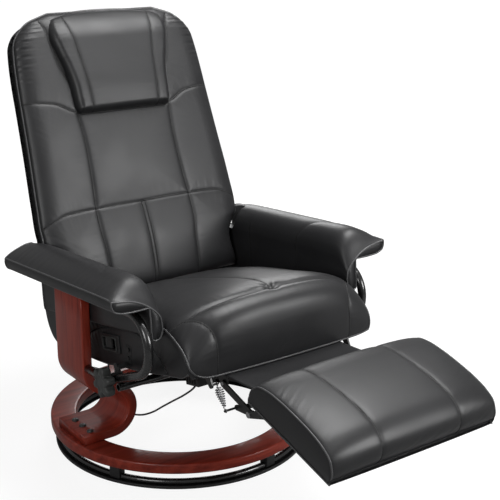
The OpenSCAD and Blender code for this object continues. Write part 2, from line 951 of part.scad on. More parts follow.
module footrest_cross_rod() {
    p = rest_a + (rest_e - rest_a) * cross_rod_at;
    color(black) at_yz(p) rod_x(-arm_x, arm_x, cross_rod_d);
}

module elbow_pins() {
    color(steel) both_sides() link_pin(rest_e, arm_x, link_x + link_t, true, true);
}

module footrest_links() {
    color(black)
        both_sides() link_bar(link_x, rest_e, rest_b, link_bore);
}

module link_end_pins() {
    color(steel) both_sides() link_pin(rest_b, link_x, pad_bracket_x + link_t, false, true);
}

module footrest_brackets() {
    a = pad_pt(20, -seat_gap);
    b = pad_pt(100, -seat_gap);
    color(black)
        both_sides()
            difference() {
                union() {
                    along_x(pad_bracket_x, pad_bracket_x + link_t)
                        hull() {
                            translate(rest_b) circle(d = bar_w);
                            polygon([a, a + [0, -6], b + [0, -6], b]);
                        }
                    pad_place()
                        translate([pad_bracket_x, -100, -3 - seat_gap]) cube([20, 70, 3]);
                }
                at_yz(rest_b) rod_x(pad_bracket_x - 30, pad_bracket_x + 30, link_bore);
            }
}

module footrest_board() {
    color(wood)
        pad_place()
            translate([-pad_w / 2 + pad_board_inset, -pad_len + pad_board_inset, -seat_gap])
                cube([pad_w - 2 * pad_board_inset, pad_len - 2 * pad_board_inset, pad_board_t]);
}

// Rings of the pad: forward place, half width, side height, crown height.
pad_rings = [
    [0, pad_w / 2 - 4, 18, 46],
    [12, pad_w / 2, 34, 60],
    [45, pad_w / 2, pad_side_h, pad_crown_h],
    [pad_len * 0.6, pad_w / 2, pad_side_h, pad_crown_h],
    [pad_len - 30, pad_w / 2, pad_side_h, pad_crown_h - 4],
    [pad_len - 8, pad_w / 2, pad_side_h - 8, pad_crown_h - 18],
    [pad_len, pad_w / 2 - 4, 22, 36]
];

module footrest_pad() {
    color(leather)
        pad_place()
            difference() {
                loft([for (r = pad_rings) crown_ring(r[0], r[1], 0, r[2], r[3], r[1])]);
                translate([-pad_w / 2 + pad_board_inset - seat_gap, -pad_len + pad_board_inset - seat_gap, -1])
                    cube([pad_w - 2 * pad_board_inset + 2 * seat_gap,
                          pad_len - 2 * pad_board_inset + 2 * seat_gap, pad_board_t + 1]);
            }
}

// Barrel-shaped tension springs from the seat down to the arms' tails.
module footrest_springs() {
    v = spring_low - spring_top;
    length = norm(v);
    r = spring_d / 2;
    hook = spring_pin_d / 2 + seat_gap;
    color(steel)
        both_sides()
            translate([spring_x, spring_top[0], spring_top[1]])
                rotate([atan2(v[1], v[0]) - 90, 0, 0])
                    rotate_extrude($fn = 32)
                        polygon([[0, hook], [2, hook], [r / 2, hook + 3], [r, hook + 14],
                                 [r, length - hook - 22], [r / 2, length - hook - 5],
                                 [2, length - hook], [0, length - hook]]);
}

module spring_brackets() {
    x0 = spring_x + spring_d / 2 + 1;
    color(black)
        both_sides() {
            hanger(x0, x0 + link_t, spring_top, 7, frame_front - 30, frame_front - 6);
            at_yz(spring_top) rod_x(spring_x - 4, x0 + 1, spring_pin_d);
        }
}

// Leather flap that bridges the seat's front edge and the footrest.
module front_apron() {
    top = -seat_gap;
    low = top - apron_t;
    u0 = frame_front - 2;
    u1 = frame_front + 12;
    color(leather)
        along_x(-apron_half, apron_half)
            polygon([seat_pt(u0, top), seat_pt(u1, top), pad_pt(0, top), pad_pt(16, top),
                     pad_pt(16, low), pad_pt(0, low), seat_pt(u1, low), seat_pt(u0, low)]);
}

// ---- back -------------------------------------------------------------------
module back_hinges() {
    p = seat_pt(frame_rear, frame_bottom + 3);
    q = seat_pt(frame_rear, frame_bottom + rail_h - 3);
    piv = [back_pivot_y, back_pivot_z];
    color(black)
        both_sides()
            difference() {
                union() {
                    along_x(hinge_x, hinge_x + hinge_t)
                        polygon([p, piv + [2, -14], piv + [12, -7], piv + [12, 3], piv + [3, 11], piv + [-8, 9], q]);
                    seat_place()
                        translate([hinge_x - 40, -frame_rear, frame_bottom + 3])
                            cube([40 + hinge_t, hinge_t, rail_h - 6]);
                }
                at_yz(piv) rod_x(hinge_x - 40, hinge_x + 40, back_pin_d + 2 * fit);
            }
}

module back_pins() {
    color(steel)
        both_sides() at_yz([back_pivot_y, back_pivot_z])
            rod_x(hinge_x - 1, hinge_x + hinge_t + 12, back_pin_d);
}

module back_frame() {
    x0 = hinge_x + hinge_t + 1;
    color(steel)
        back_place()
            difference() {
                union() {
                    both_sides()
                        translate([x0, -10, -16]) cube([10, cushion_rear + 24, 27]);
                    both_sides()
                        translate([x0, cushion_rear + seat_gap, -16]) cube([10, 14, 62]);
                    both_sides()
                        translate([x0 - 14, cushion_rear + seat_gap, 14])
                            cube([frame_bar, frame_bar, back_h - 68]);
                    for (z = back_rails)
                        translate([-x0, cushion_rear + seat_gap, z]) cube([2 * x0, frame_bar, frame_bar]);
                }
                both_sides() rod_x(x0 - 1, x0 + 20, back_pin_d + 2 * fit);
            }
}

module back_webbing() {
    color(black)
        back_place()
            for (i = [0:5])
                translate([-hinge_x, cushion_rear + seat_gap + frame_bar, 80 + i * 90])
                    cube([2 * hinge_x, web_t, 50]);
}

// Side view of the rear cover: rounded about the pivot, tapering to the top.
module shell_side_outline() {
    r = heel_r;
    top = back_h - 22;
    polygon(concat(
        [for (a = [-72:8:-16]) [r * cos(a), r * sin(a)]],
        [[r, 0], [r - 3, 120], [shell_top_y + 14, 420], [shell_top_y, top - 30],
         [shell_top_y - 22, top], [cushion_rear + seat_gap, top], [cushion_rear + seat_gap, 120],
         [40, 40], [16, -20]]
    ));
}

module back_shell() {
    half = shell_side / 2;
    color(leather)
        back_place()
            difference() {
                intersection() {
                    along_x(-half, half) shell_side_outline();
                    along_y(-heel_r, heel_r + 1) shell_back_outline();
                }
                along_x(-half + shell_t, half - shell_t)
                    offset(delta = -shell_t) shell_side_outline();
                translate([-half + shell_t, cushion_rear - 1, 14])
                    cube([2 * (half - shell_t), 45, back_h - 60]);
                both_sides() translate([hinge_x - 12, -20, -40]) cube([40, 90, 70]);
                both_sides() translate([hinge_x - 4, -40, -92]) cube([hinge_t + 8, 110, 60]);
            }
}

// Back view of the rear cover, with its upper corners cut back inside the cushion's.
module shell_back_outline() {
    half = shell_side / 2;
    top = back_h - 22;
    polygon([
        [-half, -heel_r - 1], [half, -heel_r - 1], [half, shoulder_z - 80], [half - 14, shoulder_z - 10],
        [half - 46, top - 16], [half - 90, top + 1], [-half + 90, top + 1], [-half + 46, top - 16],
        [-half + 14, shoulder_z - 10], [-half, shoulder_z - 80]
    ]);
}

// Front view of the back cushion.
module back_outline() {
    w = back_w / 2;
    lw = back_low_w / 2;
    polygon([
        [-lw, 12], [lw, 12], [lw, wing_z], [w, wing_z + 6], [w - 4, 250], [w - 14, 430], [w - 20, shoulder_z - 60],
        [w - 30, shoulder_z + 10], [w - 52, back_h - 32], [w - 100, back_h - 8], [120, back_h], [-120, back_h],
        [-w + 100, back_h - 8], [-w + 52, back_h - 32], [-w + 30, shoulder_z + 10], [-w + 20, shoulder_z - 60],
        [-w + 14, 430], [-w + 4, 250], [-w, wing_z + 6], [-lw, wing_z]
    ]);
}

module back_cushion() {
    color(leather)
        back_place() {
            along_y(-back_face + 14, cushion_rear) back_outline();
            along_y(-back_face, -back_face + 14) offset(delta = -16) back_outline();
        }
}

module head_pillow() {
    color(leather)
        back_place()
            along_y(-back_face - 20, -back_face - seat_gap)
                polygon([[-132, pillow_z], [132, pillow_z], [150, pillow_z + 122], [180, back_h - 28],
                         [110, back_h - 18], [-110, back_h - 18], [-180, back_h - 28], [-150, pillow_z + 122]]);
}

floor_tube_ring();
glide_strip();
wood_ring();
swivel_shoes();
shoe_studs();
leg_right();
leg_left();
foot_screws();
foot_caps();
side_tube_right();
side_tube_left();
tube_studs();
cross_tube();
arm_board_right();
arm_board_left();
arm_screws();
arm_pad_right();
arm_pad_left();
seat_frame();
seat_webbing();
seat_cushion();
side_panel_right();
side_panel_left();
seat_slide_bracket_right();
seat_slide_bracket_left();
bracket_screws();
knob_right();
knob_left();
knob_stud_right();
knob_stud_left();
lever_housing();
release_lever();
lever_pin();
release_cable();
latch_housing();
footrest_mounts();
mount_pins();
footrest_springs();
spring_brackets();
footrest_arms();
footrest_cross_rod();
elbow_pins();
footrest_links();
link_end_pins();
footrest_brackets();
footrest_board();
footrest_pad();
front_apron();
back_hinges();
back_pins();
back_frame();
back_webbing();
back_shell();
back_cushion();
head_pillow();
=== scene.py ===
from math import cos, pi, radians, sin

import bmesh
import bpy
import numpy as np
from mathutils import Matrix, Vector


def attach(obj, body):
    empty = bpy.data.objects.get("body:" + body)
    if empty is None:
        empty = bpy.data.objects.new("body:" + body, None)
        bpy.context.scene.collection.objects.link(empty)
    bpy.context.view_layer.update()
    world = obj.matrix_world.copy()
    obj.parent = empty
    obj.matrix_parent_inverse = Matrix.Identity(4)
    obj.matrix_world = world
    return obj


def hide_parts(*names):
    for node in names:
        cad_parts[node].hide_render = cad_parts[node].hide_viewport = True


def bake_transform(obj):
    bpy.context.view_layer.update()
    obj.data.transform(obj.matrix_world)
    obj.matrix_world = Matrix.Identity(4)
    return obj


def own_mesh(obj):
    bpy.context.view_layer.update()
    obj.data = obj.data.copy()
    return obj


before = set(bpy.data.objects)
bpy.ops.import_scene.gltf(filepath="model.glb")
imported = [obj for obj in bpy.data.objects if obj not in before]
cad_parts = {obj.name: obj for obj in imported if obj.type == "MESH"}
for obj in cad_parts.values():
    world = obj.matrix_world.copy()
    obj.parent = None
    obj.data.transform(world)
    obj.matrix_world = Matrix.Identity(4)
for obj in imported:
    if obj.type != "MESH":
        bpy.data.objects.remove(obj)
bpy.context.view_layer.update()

# ---- camera ----
# A long lens in front of the sitter's right hand, a little above the arms.
def placed(name, data):
    """A new object in the scene."""
    thing = bpy.data.objects.new(name, data)
    bpy.context.scene.collection.objects.link(thing)
    return thing


camera = placed("camera", bpy.data.cameras.new("camera"))
camera.data.sensor_width = 36
camera.data.lens = 81.23
camera.location = (-1.4176, -2.2240, 1.2971)
camera.rotation_euler = (radians(90 - 17.31), 0, radians(-36.29))
bpy.context.scene.camera = camera
bpy.context.scene.view_settings.view_transform = "Standard"


# ---- release cable ----
# A thin bowden cable from the hand lever to the footrest latch. Its sheath is
# extruded black plastic; it hangs in one loose bow behind the leg.
def surface(name, colour, roughness, metallic=0.0, coat=0.0, coat_roughness=0.1):
    """A material with its Principled shader ready to be wired."""
    material = bpy.data.materials.new(name)
    material.use_nodes = True
    shader = material.node_tree.nodes["Principled BSDF"]
    shader.inputs["Base Color"].default_value = (*colour, 1)
    shader.inputs["Roughness"].default_value = roughness
    shader.inputs["Metallic"].default_value = metallic
    shader.inputs["Coat Weight"].default_value = coat
    shader.inputs["Coat Roughness"].default_value = coat_roughness
    return material


def wired(tree, kind, inputs=(), **settings):
    """A node with its settings, and its inputs linked or set by name or number."""
    made = tree.nodes.new("ShaderNode" + kind)
    for key, value in settings.items():
        setattr(made, key, value)
    for key, value in dict(inputs).items():
        if isinstance(value, bpy.types.NodeSocket):
            tree.links.new(value, made.inputs[key])
        else:
            made.inputs[key].default_value = value
    return made


def effect(name, **inputs):
    """An empty shader node group that gives a colour, a roughness and a height."""
    group = bpy.data.node_groups.new(name, "ShaderNodeTree")
    for label, value in inputs.items():
        kind = "Float" if isinstance(value, float) else "Vector" if len(value) == 3 else "Color"
        socket = group.interface.new_socket(label, in_out="INPUT", socket_type="NodeSocket" + kind)
        socket.default_value = value
    for label, kind in (("Color", "Color"), ("Roughness", "Float"), ("Height", "Float")):
        group.interface.new_socket(label, in_out="OUTPUT", socket_type="NodeSocket" + kind)
    return group, group.nodes.new("NodeGroupInput").outputs, group.nodes.new("NodeGroupOutput").inputs


def give(group, inputs, *sources):
    """Link an effect's colour, roughness and height to its way out."""
    for label, source in zip(("Color", "Roughness", "Height"), sources):
        group.links.new(source, inputs[label])


def dressed(material, group, values, bump, depth):
    """Wire an effect into a material's colour, roughness and normal."""
    tree = material.node_tree
    shader = tree.nodes["Principled BSDF"]
    skin = wired(tree, "Group", values, node_tree=group).outputs
    bumped = wired(tree, "Bump", {"Strength": bump, "Distance": depth, "Height": skin["Height"]})
    tree.links.new(skin["Color"], shader.inputs["Base Color"])
    tree.links.new(skin["Roughness"], shader.inputs["Roughness"])
    tree.links.new(bumped.outputs["Normal"], shader.inputs["Normal"])
    return material


# Fine uneven skin that every moulded, painted and pressed part shows.
BLACK, WHITE = (0, 0, 0, 1), (1, 1, 1, 1)
finish_group, g_in, g_out = effect("surface_variation", Scale=60.0, Dark=BLACK, Light=WHITE, Smooth=0.3,
    Rough=0.5)
where_on = wired(finish_group, "TexCoord")
broad = wired(finish_group, "TexNoise", {"Vector": where_on.outputs["Object"], "Scale": g_in["Scale"],
    "Detail": 3.0})
fine = wired(finish_group, "TexNoise", {"Vector": where_on.outputs["Object"], "Scale": 1400.0,
    "Detail": 1.0})
tone = wired(finish_group, "Mix", {0: broad.outputs["Fac"], 6: g_in["Dark"], 7: g_in["Light"]},
    data_type="RGBA")
gloss = wired(finish_group, "MapRange", {"Value": broad.outputs["Fac"], "From Min": 0.3, "From Max": 0.7,
    "To Min": g_in["Smooth"], "To Max": g_in["Rough"]})
give(finish_group, g_out, tone.outputs[2], gloss.outputs["Result"], fine.outputs["Fac"])


def varied(name, dark, light, smooth, rough, scale=60.0, bump=0.05, **look):
    """A material with the uneven skin."""
    values = {"Scale": scale, "Dark": (*dark, 1), "Light": (*light, 1), "Smooth": smooth, "Rough": rough}
    return dressed(surface(name, light, rough, **look), finish_group, values, bump, 0.0004)


sheath = varied("cable_sheath", (0.006, 0.006, 0.006), (0.014, 0.014, 0.015), 0.32, 0.5)
cable_points = [(x / 1000, y / 1000, z / 1000) for x, y, z in ((-216, -81, 309), (-204, -80, 308),
    (-193, -74, 302), (-184, -62, 288), (-178, -40, 270), (-172, -5, 256), (-167, 35, 245), (-162, 68, 228),
    (-159, 86, 200), (-158, 90, 165), (-158, 82, 130), (-158, 60, 104), (-158, 25, 90), (-159, -15, 90),
    (-161, -55, 102), (-161, -90, 117), (-161, -130, 140), (-161, -170, 168), (-160, -215, 199),
    (-160, -255, 226), (-160, -292, 254), (-160, -312, 274))]


def eased_route(points, steps):
    """More points on a smooth curve through the given ones."""
    p = [Vector(points[0])] + [Vector(q) for q in points] + [Vector(points[-1])]
    out = []
    for a, b, c, d in zip(p, p[1:], p[2:], p[3:]):
        for k in range(steps):
            t = k / steps
            out.append(0.5 * (2 * b + (c - a) * t + (2 * a - 5 * b + 4 * c - d) * t * t
                + (3 * b - 3 * c + d - a) * t * t * t))
    return out + [p[-1]]


def bent(name, points, radius, resolution=3, cyclic=False):
    """A round strand as a curve of one spline that keeps its thickness."""
    line = bpy.data.curves.new(name, "CURVE")
    line.dimensions = "3D"
    line.bevel_depth = radius
    line.bevel_resolution = resolution
    line.use_fill_caps = not cyclic
    spline = line.splines.new("POLY")
    spline.points.add(len(points) - 1)
    for place, point in zip(spline.points, points):
        place.co = (*point, 1)
    spline.use_cyclic_u = cyclic
    return placed(name, line)


def drawn(name, points, radius, material, body, cyclic=False):
    """A finished strand that rides on a body."""
    strand = bent(name, points, radius, cyclic=cyclic)
    strand.data.materials.append(material)
    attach(strand, body)
    return strand


cable_run = eased_route(cable_points, 4)
cable = drawn("release_cable_run", cable_run, 0.00225, sheath, "seat")
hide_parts("release_cable")

# ---- studio ----
# A white sweep: a matt floor, an even white surround and four wide soft boxes.
floor = placed("studio_floor", bpy.data.meshes.new("studio_floor"))
ground = bmesh.new()
bmesh.ops.create_grid(ground, x_segments=1, y_segments=1, size=30)
ground.to_mesh(floor.data)
ground.free()


def looked_at(tree, mirrored_share):
    """1 for rays straight from the camera or through glass, a share of that for mirrored rays, else 0."""
    rays = wired(tree, "LightPath").outputs
    mirrored = wired(tree, "Math", {0: rays["Is Glossy Ray"], 1: mirrored_share}, operation="MULTIPLY")
    seen = wired(tree, "Math", {0: rays["Is Camera Ray"], 1: mirrored.outputs[0]}, operation="MAXIMUM")
    seen = wired(tree, "Math", {0: seen.outputs[0], 1: rays["Is Transmission Ray"]}, operation="MAXIMUM")
    return rays, seen.outputs[0]


paper = surface("studio_paper", (0.17, 0.17, 0.17), 0.95)
tree = paper.node_tree
seen = looked_at(tree, 0.15)[1]
spread = wired(tree, "VectorMath", {0: wired(tree, "TexCoord").outputs["Object"]}, operation="LENGTH")
glow = wired(tree, "MapRange", {"Value": spread.outputs["Value"], "From Min": 0.5, "From Max": 1.6,
    "To Min": 0.88, "To Max": 1.0})
lift = wired(tree, "Math", {0: seen, 1: glow.outputs[0]}, operation="MULTIPLY")
tree.links.new(lift.outputs[0], tree.nodes["Principled BSDF"].inputs["Emission Strength"])
tree.nodes["Principled BSDF"].inputs["Emission Color"].default_value = WHITE
floor.data.materials.append(paper)

world = bpy.data.worlds.new("studio_surround")
bpy.context.scene.world = world
world.use_nodes = True
tree = world.node_tree
tree.nodes.clear()
rays, seen = looked_at(tree, 1.0)
looking = wired(tree, "SeparateXYZ", {0: wired(tree, "TexCoord").outputs["Generated"]})
sweep = wired(tree, "MapRange", {"Value": looking.outputs["Z"], "From Min": 0.1, "From Max": 0.9,
    "To Min": 0.2, "To Max": 0.5})
level = wired(tree, "Math", {0: rays["Is Camera Ray"], 1: sweep.outputs[0]}, operation="MAXIMUM")
fill = wired(tree, "Background", {"Color": WHITE, "Strength": 0.12})
white = wired(tree, "Background", {"Color": WHITE, "Strength": level.outputs[0]})
either = wired(tree, "MixShader", {0: seen, 1: fill.outputs[0], 2: white.outputs[0]})
wired(tree, "OutputWorld", {"Surface": either.outputs[0]})


def soft_box(name, place, aim, size, power):
    """A square area lamp turned towards a point."""
    lamp = bpy.data.lights.new(name, "AREA")
    lamp.shape = "SQUARE"
    lamp.size = size
    lamp.energy = power
    box = placed(name, lamp)
    box.location = place
    box.rotation_euler = (Vector(aim) - Vector(place)).to_track_quat("-Z", "Y").to_euler()


soft_box("front_box", (1.35, -2.8, 1.5), (0, -0.1, 0.5), 1.1, 54)
soft_box("top_box", (0.6, -0.4, 2.5), (0, -0.3, 0.4), 1.3, 58)
soft_box("left_box", (-2.5, -1.3, 1.5), (0, 0, 0.35), 1.0, 22)
soft_box("rear_box", (1.5, 2.0, 1.5), (0, -0.1, 0.5), 1.0, 15)


# ---- floor tube and glide ----
# The chair turns on a ring of bent steel tube, painted gloss black, that lies in
# a moulded glide strip with a raised outer lip.
def place_from_mm(offset, lean):
    """Matrix from a part's own millimetres, leaning about X, to the chair's metres."""
    return (Matrix.Translation([v / 1000 for v in offset]) @ Matrix.Rotation(radians(lean), 4, "X")
        @ Matrix.Scale(0.001, 4))


WORLD_MM = place_from_mm((0, 0, 0), 0)


def piece(name, bm, material, body, nodes=(), matrix=WORLD_MM, faceted=False):
    """Turn a bmesh in its own millimetres into a finished piece that rides on a body."""
    bmesh.ops.remove_doubles(bm, verts=bm.verts, dist=1e-4)
    bmesh.ops.recalc_face_normals(bm, faces=bm.faces)
    bmesh.ops.transform(bm, matrix=matrix, verts=bm.verts)
    mesh = bpy.data.meshes.new(name)
    bm.to_mesh(mesh)
    bm.free()
    mesh.polygons.foreach_set("use_smooth", [not faceted] * len(mesh.polygons))
    mesh.materials.append(material)
    thing = placed(name, mesh)
    if body:
        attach(thing, body)
    if nodes:
        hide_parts(*nodes)
    return thing


def lathe(outline, steps):
    """Spin a closed outline of (radius, height) points about Z."""
    bm = bmesh.new()
    corners = [bm.verts.new((r, 0, z)) for r, z in outline]
    edges = [bm.edges.new((a, b)) for a, b in zip(corners, corners[1:] + corners[:1])]
    bmesh.ops.spin(bm, geom=corners + edges, cent=(0, 0, 0), axis=(0, 0, 1), dvec=(0, 0, 0), angle=2 * pi,
        steps=steps, use_merge=True)
    return bm


def rounded(corners, radius, steps=4):
    """An outline with each corner cut by a short smooth curve."""
    out = []
    for before, at, after in zip(corners[-1:] + corners[:-1], corners, corners[1:] + corners[:1]):
        at, back, ahead = Vector(at), Vector(before) - Vector(at), Vector(after) - Vector(at)
        r = min(radius, 0.45 * back.length, 0.45 * ahead.length)
        a, b = at + back.normalized() * r, at + ahead.normalized() * r
        for k in range(steps + 1):
            t = k / steps
            out.append(tuple(a * (1 - t) ** 2 + at * 2 * t * (1 - t) + b * t * t))
    return out


black_plastic = varied("black_plastic", (0.007, 0.007, 0.007), (0.016, 0.016, 0.017), 0.42, 0.6, bump=0.12)
black_paint = varied("black_paint", (0.004, 0.004, 0.004), (0.008, 0.008, 0.0085), 0.22, 0.32, bump=0.02,
    coat=0.6, coat_roughness=0.08)
glide = lathe(rounded([(291, 0), (320, 0), (320, 7), (315, 7), (315, 3), (291, 3)], 1.6, 3), 200)
piece("glide_ring", glide, black_plastic, "base", ["glide_strip"])
tube_ring = lathe([(303 + 8 * cos(a * pi / 14), 11 + 8 * sin(a * pi / 14)) for a in range(28)], 200)
piece("floor_tube", tube_ring, black_paint, "base", ["floor_tube_ring"])

# ---- wooden ring ----
# A flat ring cut from glued beech, edges rounded over, stained mahogany red and
# sprayed with clear gloss lacquer. It carries everything above on five shoes.
grain_group, g_in, g_out = effect("wood_grain", Place=(0, 0, 0), Dark=BLACK, Light=WHITE)
stretched = wired(grain_group, "Mapping", {"Vector": g_in["Place"], "Scale": (3.5, 60.0, 60.0)})
streaks = wired(grain_group, "TexNoise", {"Vector": stretched.outputs[0], "Scale": 1.0, "Detail": 6.0,
    "Roughness": 0.62, "Distortion": 0.35})
pores = wired(grain_group, "Mapping", {"Vector": g_in["Place"], "Scale": (30.0, 900.0, 900.0)})
pore_noise = wired(grain_group, "TexNoise", {"Vector": pores.outputs[0], "Scale": 1.0, "Detail": 2.0})
banded = wired(grain_group, "MapRange", {"Value": streaks.outputs["Fac"], "From Min": 0.33,
    "From Max": 0.68})
pored = wired(grain_group, "MapRange", {"Value": pore_noise.outputs["Fac"], "From Min": 0.3,
    "From Max": 0.5, "To Min": 0.82, "To Max": 1.0})
shade = wired(grain_group, "Mix", {0: banded.outputs[0], 6: g_in["Dark"], 7: g_in["Light"]},
    data_type="RGBA")
pored_colour = wired(grain_group, "Mix", {0: 1.0, 6: shade.outputs[2], 7: pored.outputs[0]},
    data_type="RGBA", blend_type="MULTIPLY")
dulled = wired(grain_group, "MapRange", {"Value": streaks.outputs["Fac"], "To Min": 0.26, "To Max": 0.4})
give(grain_group, g_out, pored_colour.outputs[2], dulled.outputs[0], pore_noise.outputs["Fac"])


def lacquered(name, dark, light, follow=None, turn=0.0):
    """Stained and lacquered wood; the grain runs along X, or along the strip's own line."""
    material = surface(name, light, 0.3, coat=0.2, coat_roughness=0.12)
    tree = material.node_tree
    tree.nodes["Principled BSDF"].inputs["Specular IOR Level"].default_value = 0.25
    if follow:
        spot = wired(tree, "Attribute", attribute_name=follow).outputs["Vector"]
    else:
        spot = wired(tree, "Mapping", {"Vector": wired(tree, "TexCoord").outputs["Object"],
            "Rotation": (0, 0, turn)}).outputs[0]
    return dressed(material, grain_group, {"Place": spot, "Dark": (*dark, 1), "Light": (*light, 1)}, 0.06,
        0.0003)


mahogany_dark, mahogany_light = (0.17, 0.017, 0.009), (0.38, 0.05, 0.027)
ring_wood = lacquered("mahogany_ring", mahogany_dark, mahogany_light)
ring = lathe(rounded([(265, 43), (330, 43), (330, 69), (265, 69)], 6, 5), 240)
piece("mahogany_ring", ring, ring_wood, "turntable", ["wood_ring"])


# ---- shoes ----
# Five moulded saddles bolted under the ring. Each straddles the floor tube and
# slides round it; the steel bolts stay hidden in them.
def clad(material, *nodes):
    """Give CAD pieces whose shape is already right their real finish."""
    for node in nodes:
        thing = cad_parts[node]
        thing.data.materials.clear()
        thing.data.materials.append(material)


shoes = bmesh.new()
for i in range(5):
    block = bmesh.ops.create_cube(shoes, size=1)["verts"]
    bmesh.ops.scale(shoes, vec=(24, 28, 34.5), verts=block)
    bmesh.ops.translate(shoes, vec=(303, 0, 25.75), verts=block)
    bmesh.ops.rotate(shoes, cent=(0, 0, 0), verts=block, matrix=Matrix.Rotation(-radians(9 + 72 * i), 3,
        "Z"))
bmesh.ops.bevel(shoes, geom=shoes.edges[:], affect="EDGES", offset=2.2, segments=3, profile=0.5,
    material=-1)
piece("ring_shoes", shoes, black_plastic, "turntable", ["swivel_shoes"])
bright_steel = varied("zinc_steel", (0.36, 0.36, 0.37), (0.6, 0.6, 0.61), 0.22, 0.4, metallic=1.0)
clad(bright_steel, "shoe_studs", "foot_screws", "tube_studs", "lever_pin")
clad(black_paint, "arm_screws", "back_pins", "knob_stud_right", "knob_stud_left")


# ---- bentwood legs ----
# One strip of laminated beech for each leg, pressed into a question mark: a foot
# on the ring, a tight turn, then straight up to the arm. Stained and lacquered
# like the ring, with the strip's edges eased.
def wrapped(around, along, where):
    """A grid rolled into a tube: where(i, j) gives each point from its two shares."""
    bm = bmesh.new()
    bmesh.ops.create_grid(bm, x_segments=around, y_segments=along, size=1)
    for v in bm.verts:
        v.co = where((v.co.x + 1) / 2, (v.co.y + 1) / 2)
    bmesh.ops.remove_doubles(bm, verts=bm.verts, dist=1e-4)
    bmesh.ops.holes_fill(bm, edges=bm.edges, sides=0)
    return bm


def arc(centre, radius, start, end, steps):
    """Points of an arc, angles in degrees."""
    return [(centre[0] + radius * cos(radians(start + (end - start) * k / steps)),
        centre[1] + radius * sin(radians(start + (end - start) * k / steps))) for k in range(steps + 1)]


leg_line = ([(318, 80.5), (280, 80.5)] + arc((237, 137), 56.5, 270, 90, 26)
    + arc((237, 253), 59.5, -90, 0, 16)[1:] + [(296.5, 300), (296.5, 380), (296.5, 505)])
strip_section = rounded([(-11.5, -66), (11.5, -66), (11.5, 66), (-11.5, 66)], 3.5, 3)


def along_line(line):
    """Length up to each point of a flat line, and the unit normal there."""
    pts = [Vector(p) for p in line]
    run = [0.0]
    for a, b in zip(pts, pts[1:]):
        run.append(run[-1] + (b - a).length)
    normals = []
    for i in range(len(pts)):
        t = (pts[min(i + 1, len(pts) - 1)] - pts[max(i - 1, 0)]).normalized()
        normals.append(Vector((-t.y, t.x)))
    return run, normals


leg_run, leg_normals = along_line(leg_line)


def leg_point(i, j):
    k = round(j * (len(leg_line) - 1))
    across, wide = strip_section[round(i * len(strip_section)) % len(strip_section)]
    x = leg_line[k][0] + leg_normals[k].x * across
    z = leg_line[k][1] + leg_normals[k].y * across
    return x, wide, z


SIDES = (("left", 1), ("right", -1))
leg_wood = lacquered("mahogany_strip", mahogany_dark, mahogany_light, follow="strip_line")
for side, sign in SIDES:
    leg = wrapped(len(strip_section), len(leg_line) - 1, leg_point)
    # the foot follows the ring's edge, and the top follows the arm's slope
    for v in leg.verts:
        if v.co.z < 93 and v.co.x > 250:
            reach = (320 ** 2 - v.co.y ** 2) ** 0.5
            v.co.x = min(v.co.x * reach / 318 if v.co.x > 300 else v.co.x, reach)
        if v.co.z > 450:
            v.co.z = 484 - (v.co.y + 322) * 0.0787 - 10.5
    bmesh.ops.scale(leg, vec=(sign, 1, 1), verts=leg.verts)
    made = piece("bentwood_leg_" + side, leg, leg_wood, "turntable", ["leg_" + side])
    strip = made.data.attributes.new("strip_line", "FLOAT_VECTOR", "POINT")
    for v, spot in zip(made.data.vertices, strip.data):
        x, z = abs(v.co.x) * 1000, v.co.z * 1000
        near = min(range(len(leg_line)), key=lambda k: (leg_line[k][0] - x) ** 2
            + (leg_line[k][1] - z) ** 2)
        off = (x - leg_line[near][0]) * leg_normals[near].x + (z - leg_line[near][1]) * leg_normals[near].y
        spot.vector = (leg_run[near] / 1000, v.co.y + 0.3 * sign, off / 1000)

# Three grey plastic caps cover the bolts that hold each foot down.
grey_plastic = varied("grey_plastic", (0.028, 0.03, 0.029), (0.05, 0.052, 0.05), 0.38, 0.55, bump=0.1)
caps = bmesh.new()
for sign in (-1, 1):
    for k in range(3):
        cap = lathe([(0.01, 90), (8, 90), (8.5, 92.2), (8.3, 94), (6.6, 96), (4, 96.7), (0.01, 96.8)], 28)
        bmesh.ops.translate(cap, vec=(289 * sign, -10 + 37 * (k - 1), 0), verts=cap.verts)
        loose = bpy.data.meshes.new("cap")
        cap.to_mesh(loose)
        cap.free()
        caps.from_mesh(loose)
        bpy.data.meshes.remove(loose)
piece("bolt_caps", caps, grey_plastic, "turntable", ["foot_caps"])

# ---- side tubes ----
# A hoop of 20 mm steel tube on each side, in line with the leg, painted gloss
# black: down from under the arm, round the front and back along the slide.
slope, glide_lean = radians(4.5), radians(23.5)
top_z = 484 - 20.3 / cos(slope) - (-271 + 322) * 0.0787
bend_z = top_z - 69.5 / cos(slope)
run_y, run_z = -271 - 69.5 * sin(glide_lean), bend_z - 69.5 * cos(glide_lean)
low_z = run_z - (-150 - run_y) * 0.43481
knee_c = (-150 + 60 * 0.20800, low_z + 60)
hoop_line = ([(-66, top_z - 205 * 0.0787), (-166, top_z - 105 * 0.0787)]
    + arc((-271, bend_z), 69.5, 85.5, 246.5, 40) + [(-225, run_z - (-225 - run_y) * 0.43481)]
    + arc(knee_c, 60, 246.5, 270, 8) + [(-66, low_z)])
hoop_normals = along_line(hoop_line)[1]


def hoop_point(i, j):
    k = round(j * (len(hoop_line) - 1))
    a = 2 * pi * i
    return (296.5 + 10 * cos(a), hoop_line[k][0] + hoop_normals[k].x * 10 * sin(a),
        hoop_line[k][1] + hoop_normals[k].y * 10 * sin(a))


for side, sign in SIDES:
    hoop = wrapped(28, len(hoop_line) - 1, hoop_point)
    bmesh.ops.scale(hoop, vec=(sign, 1, 1), verts=hoop.verts)
    piece("side_hoop_" + side, hoop, black_paint, "turntable", ["side_tube_" + side])
clad(black_paint, "cross_tube")

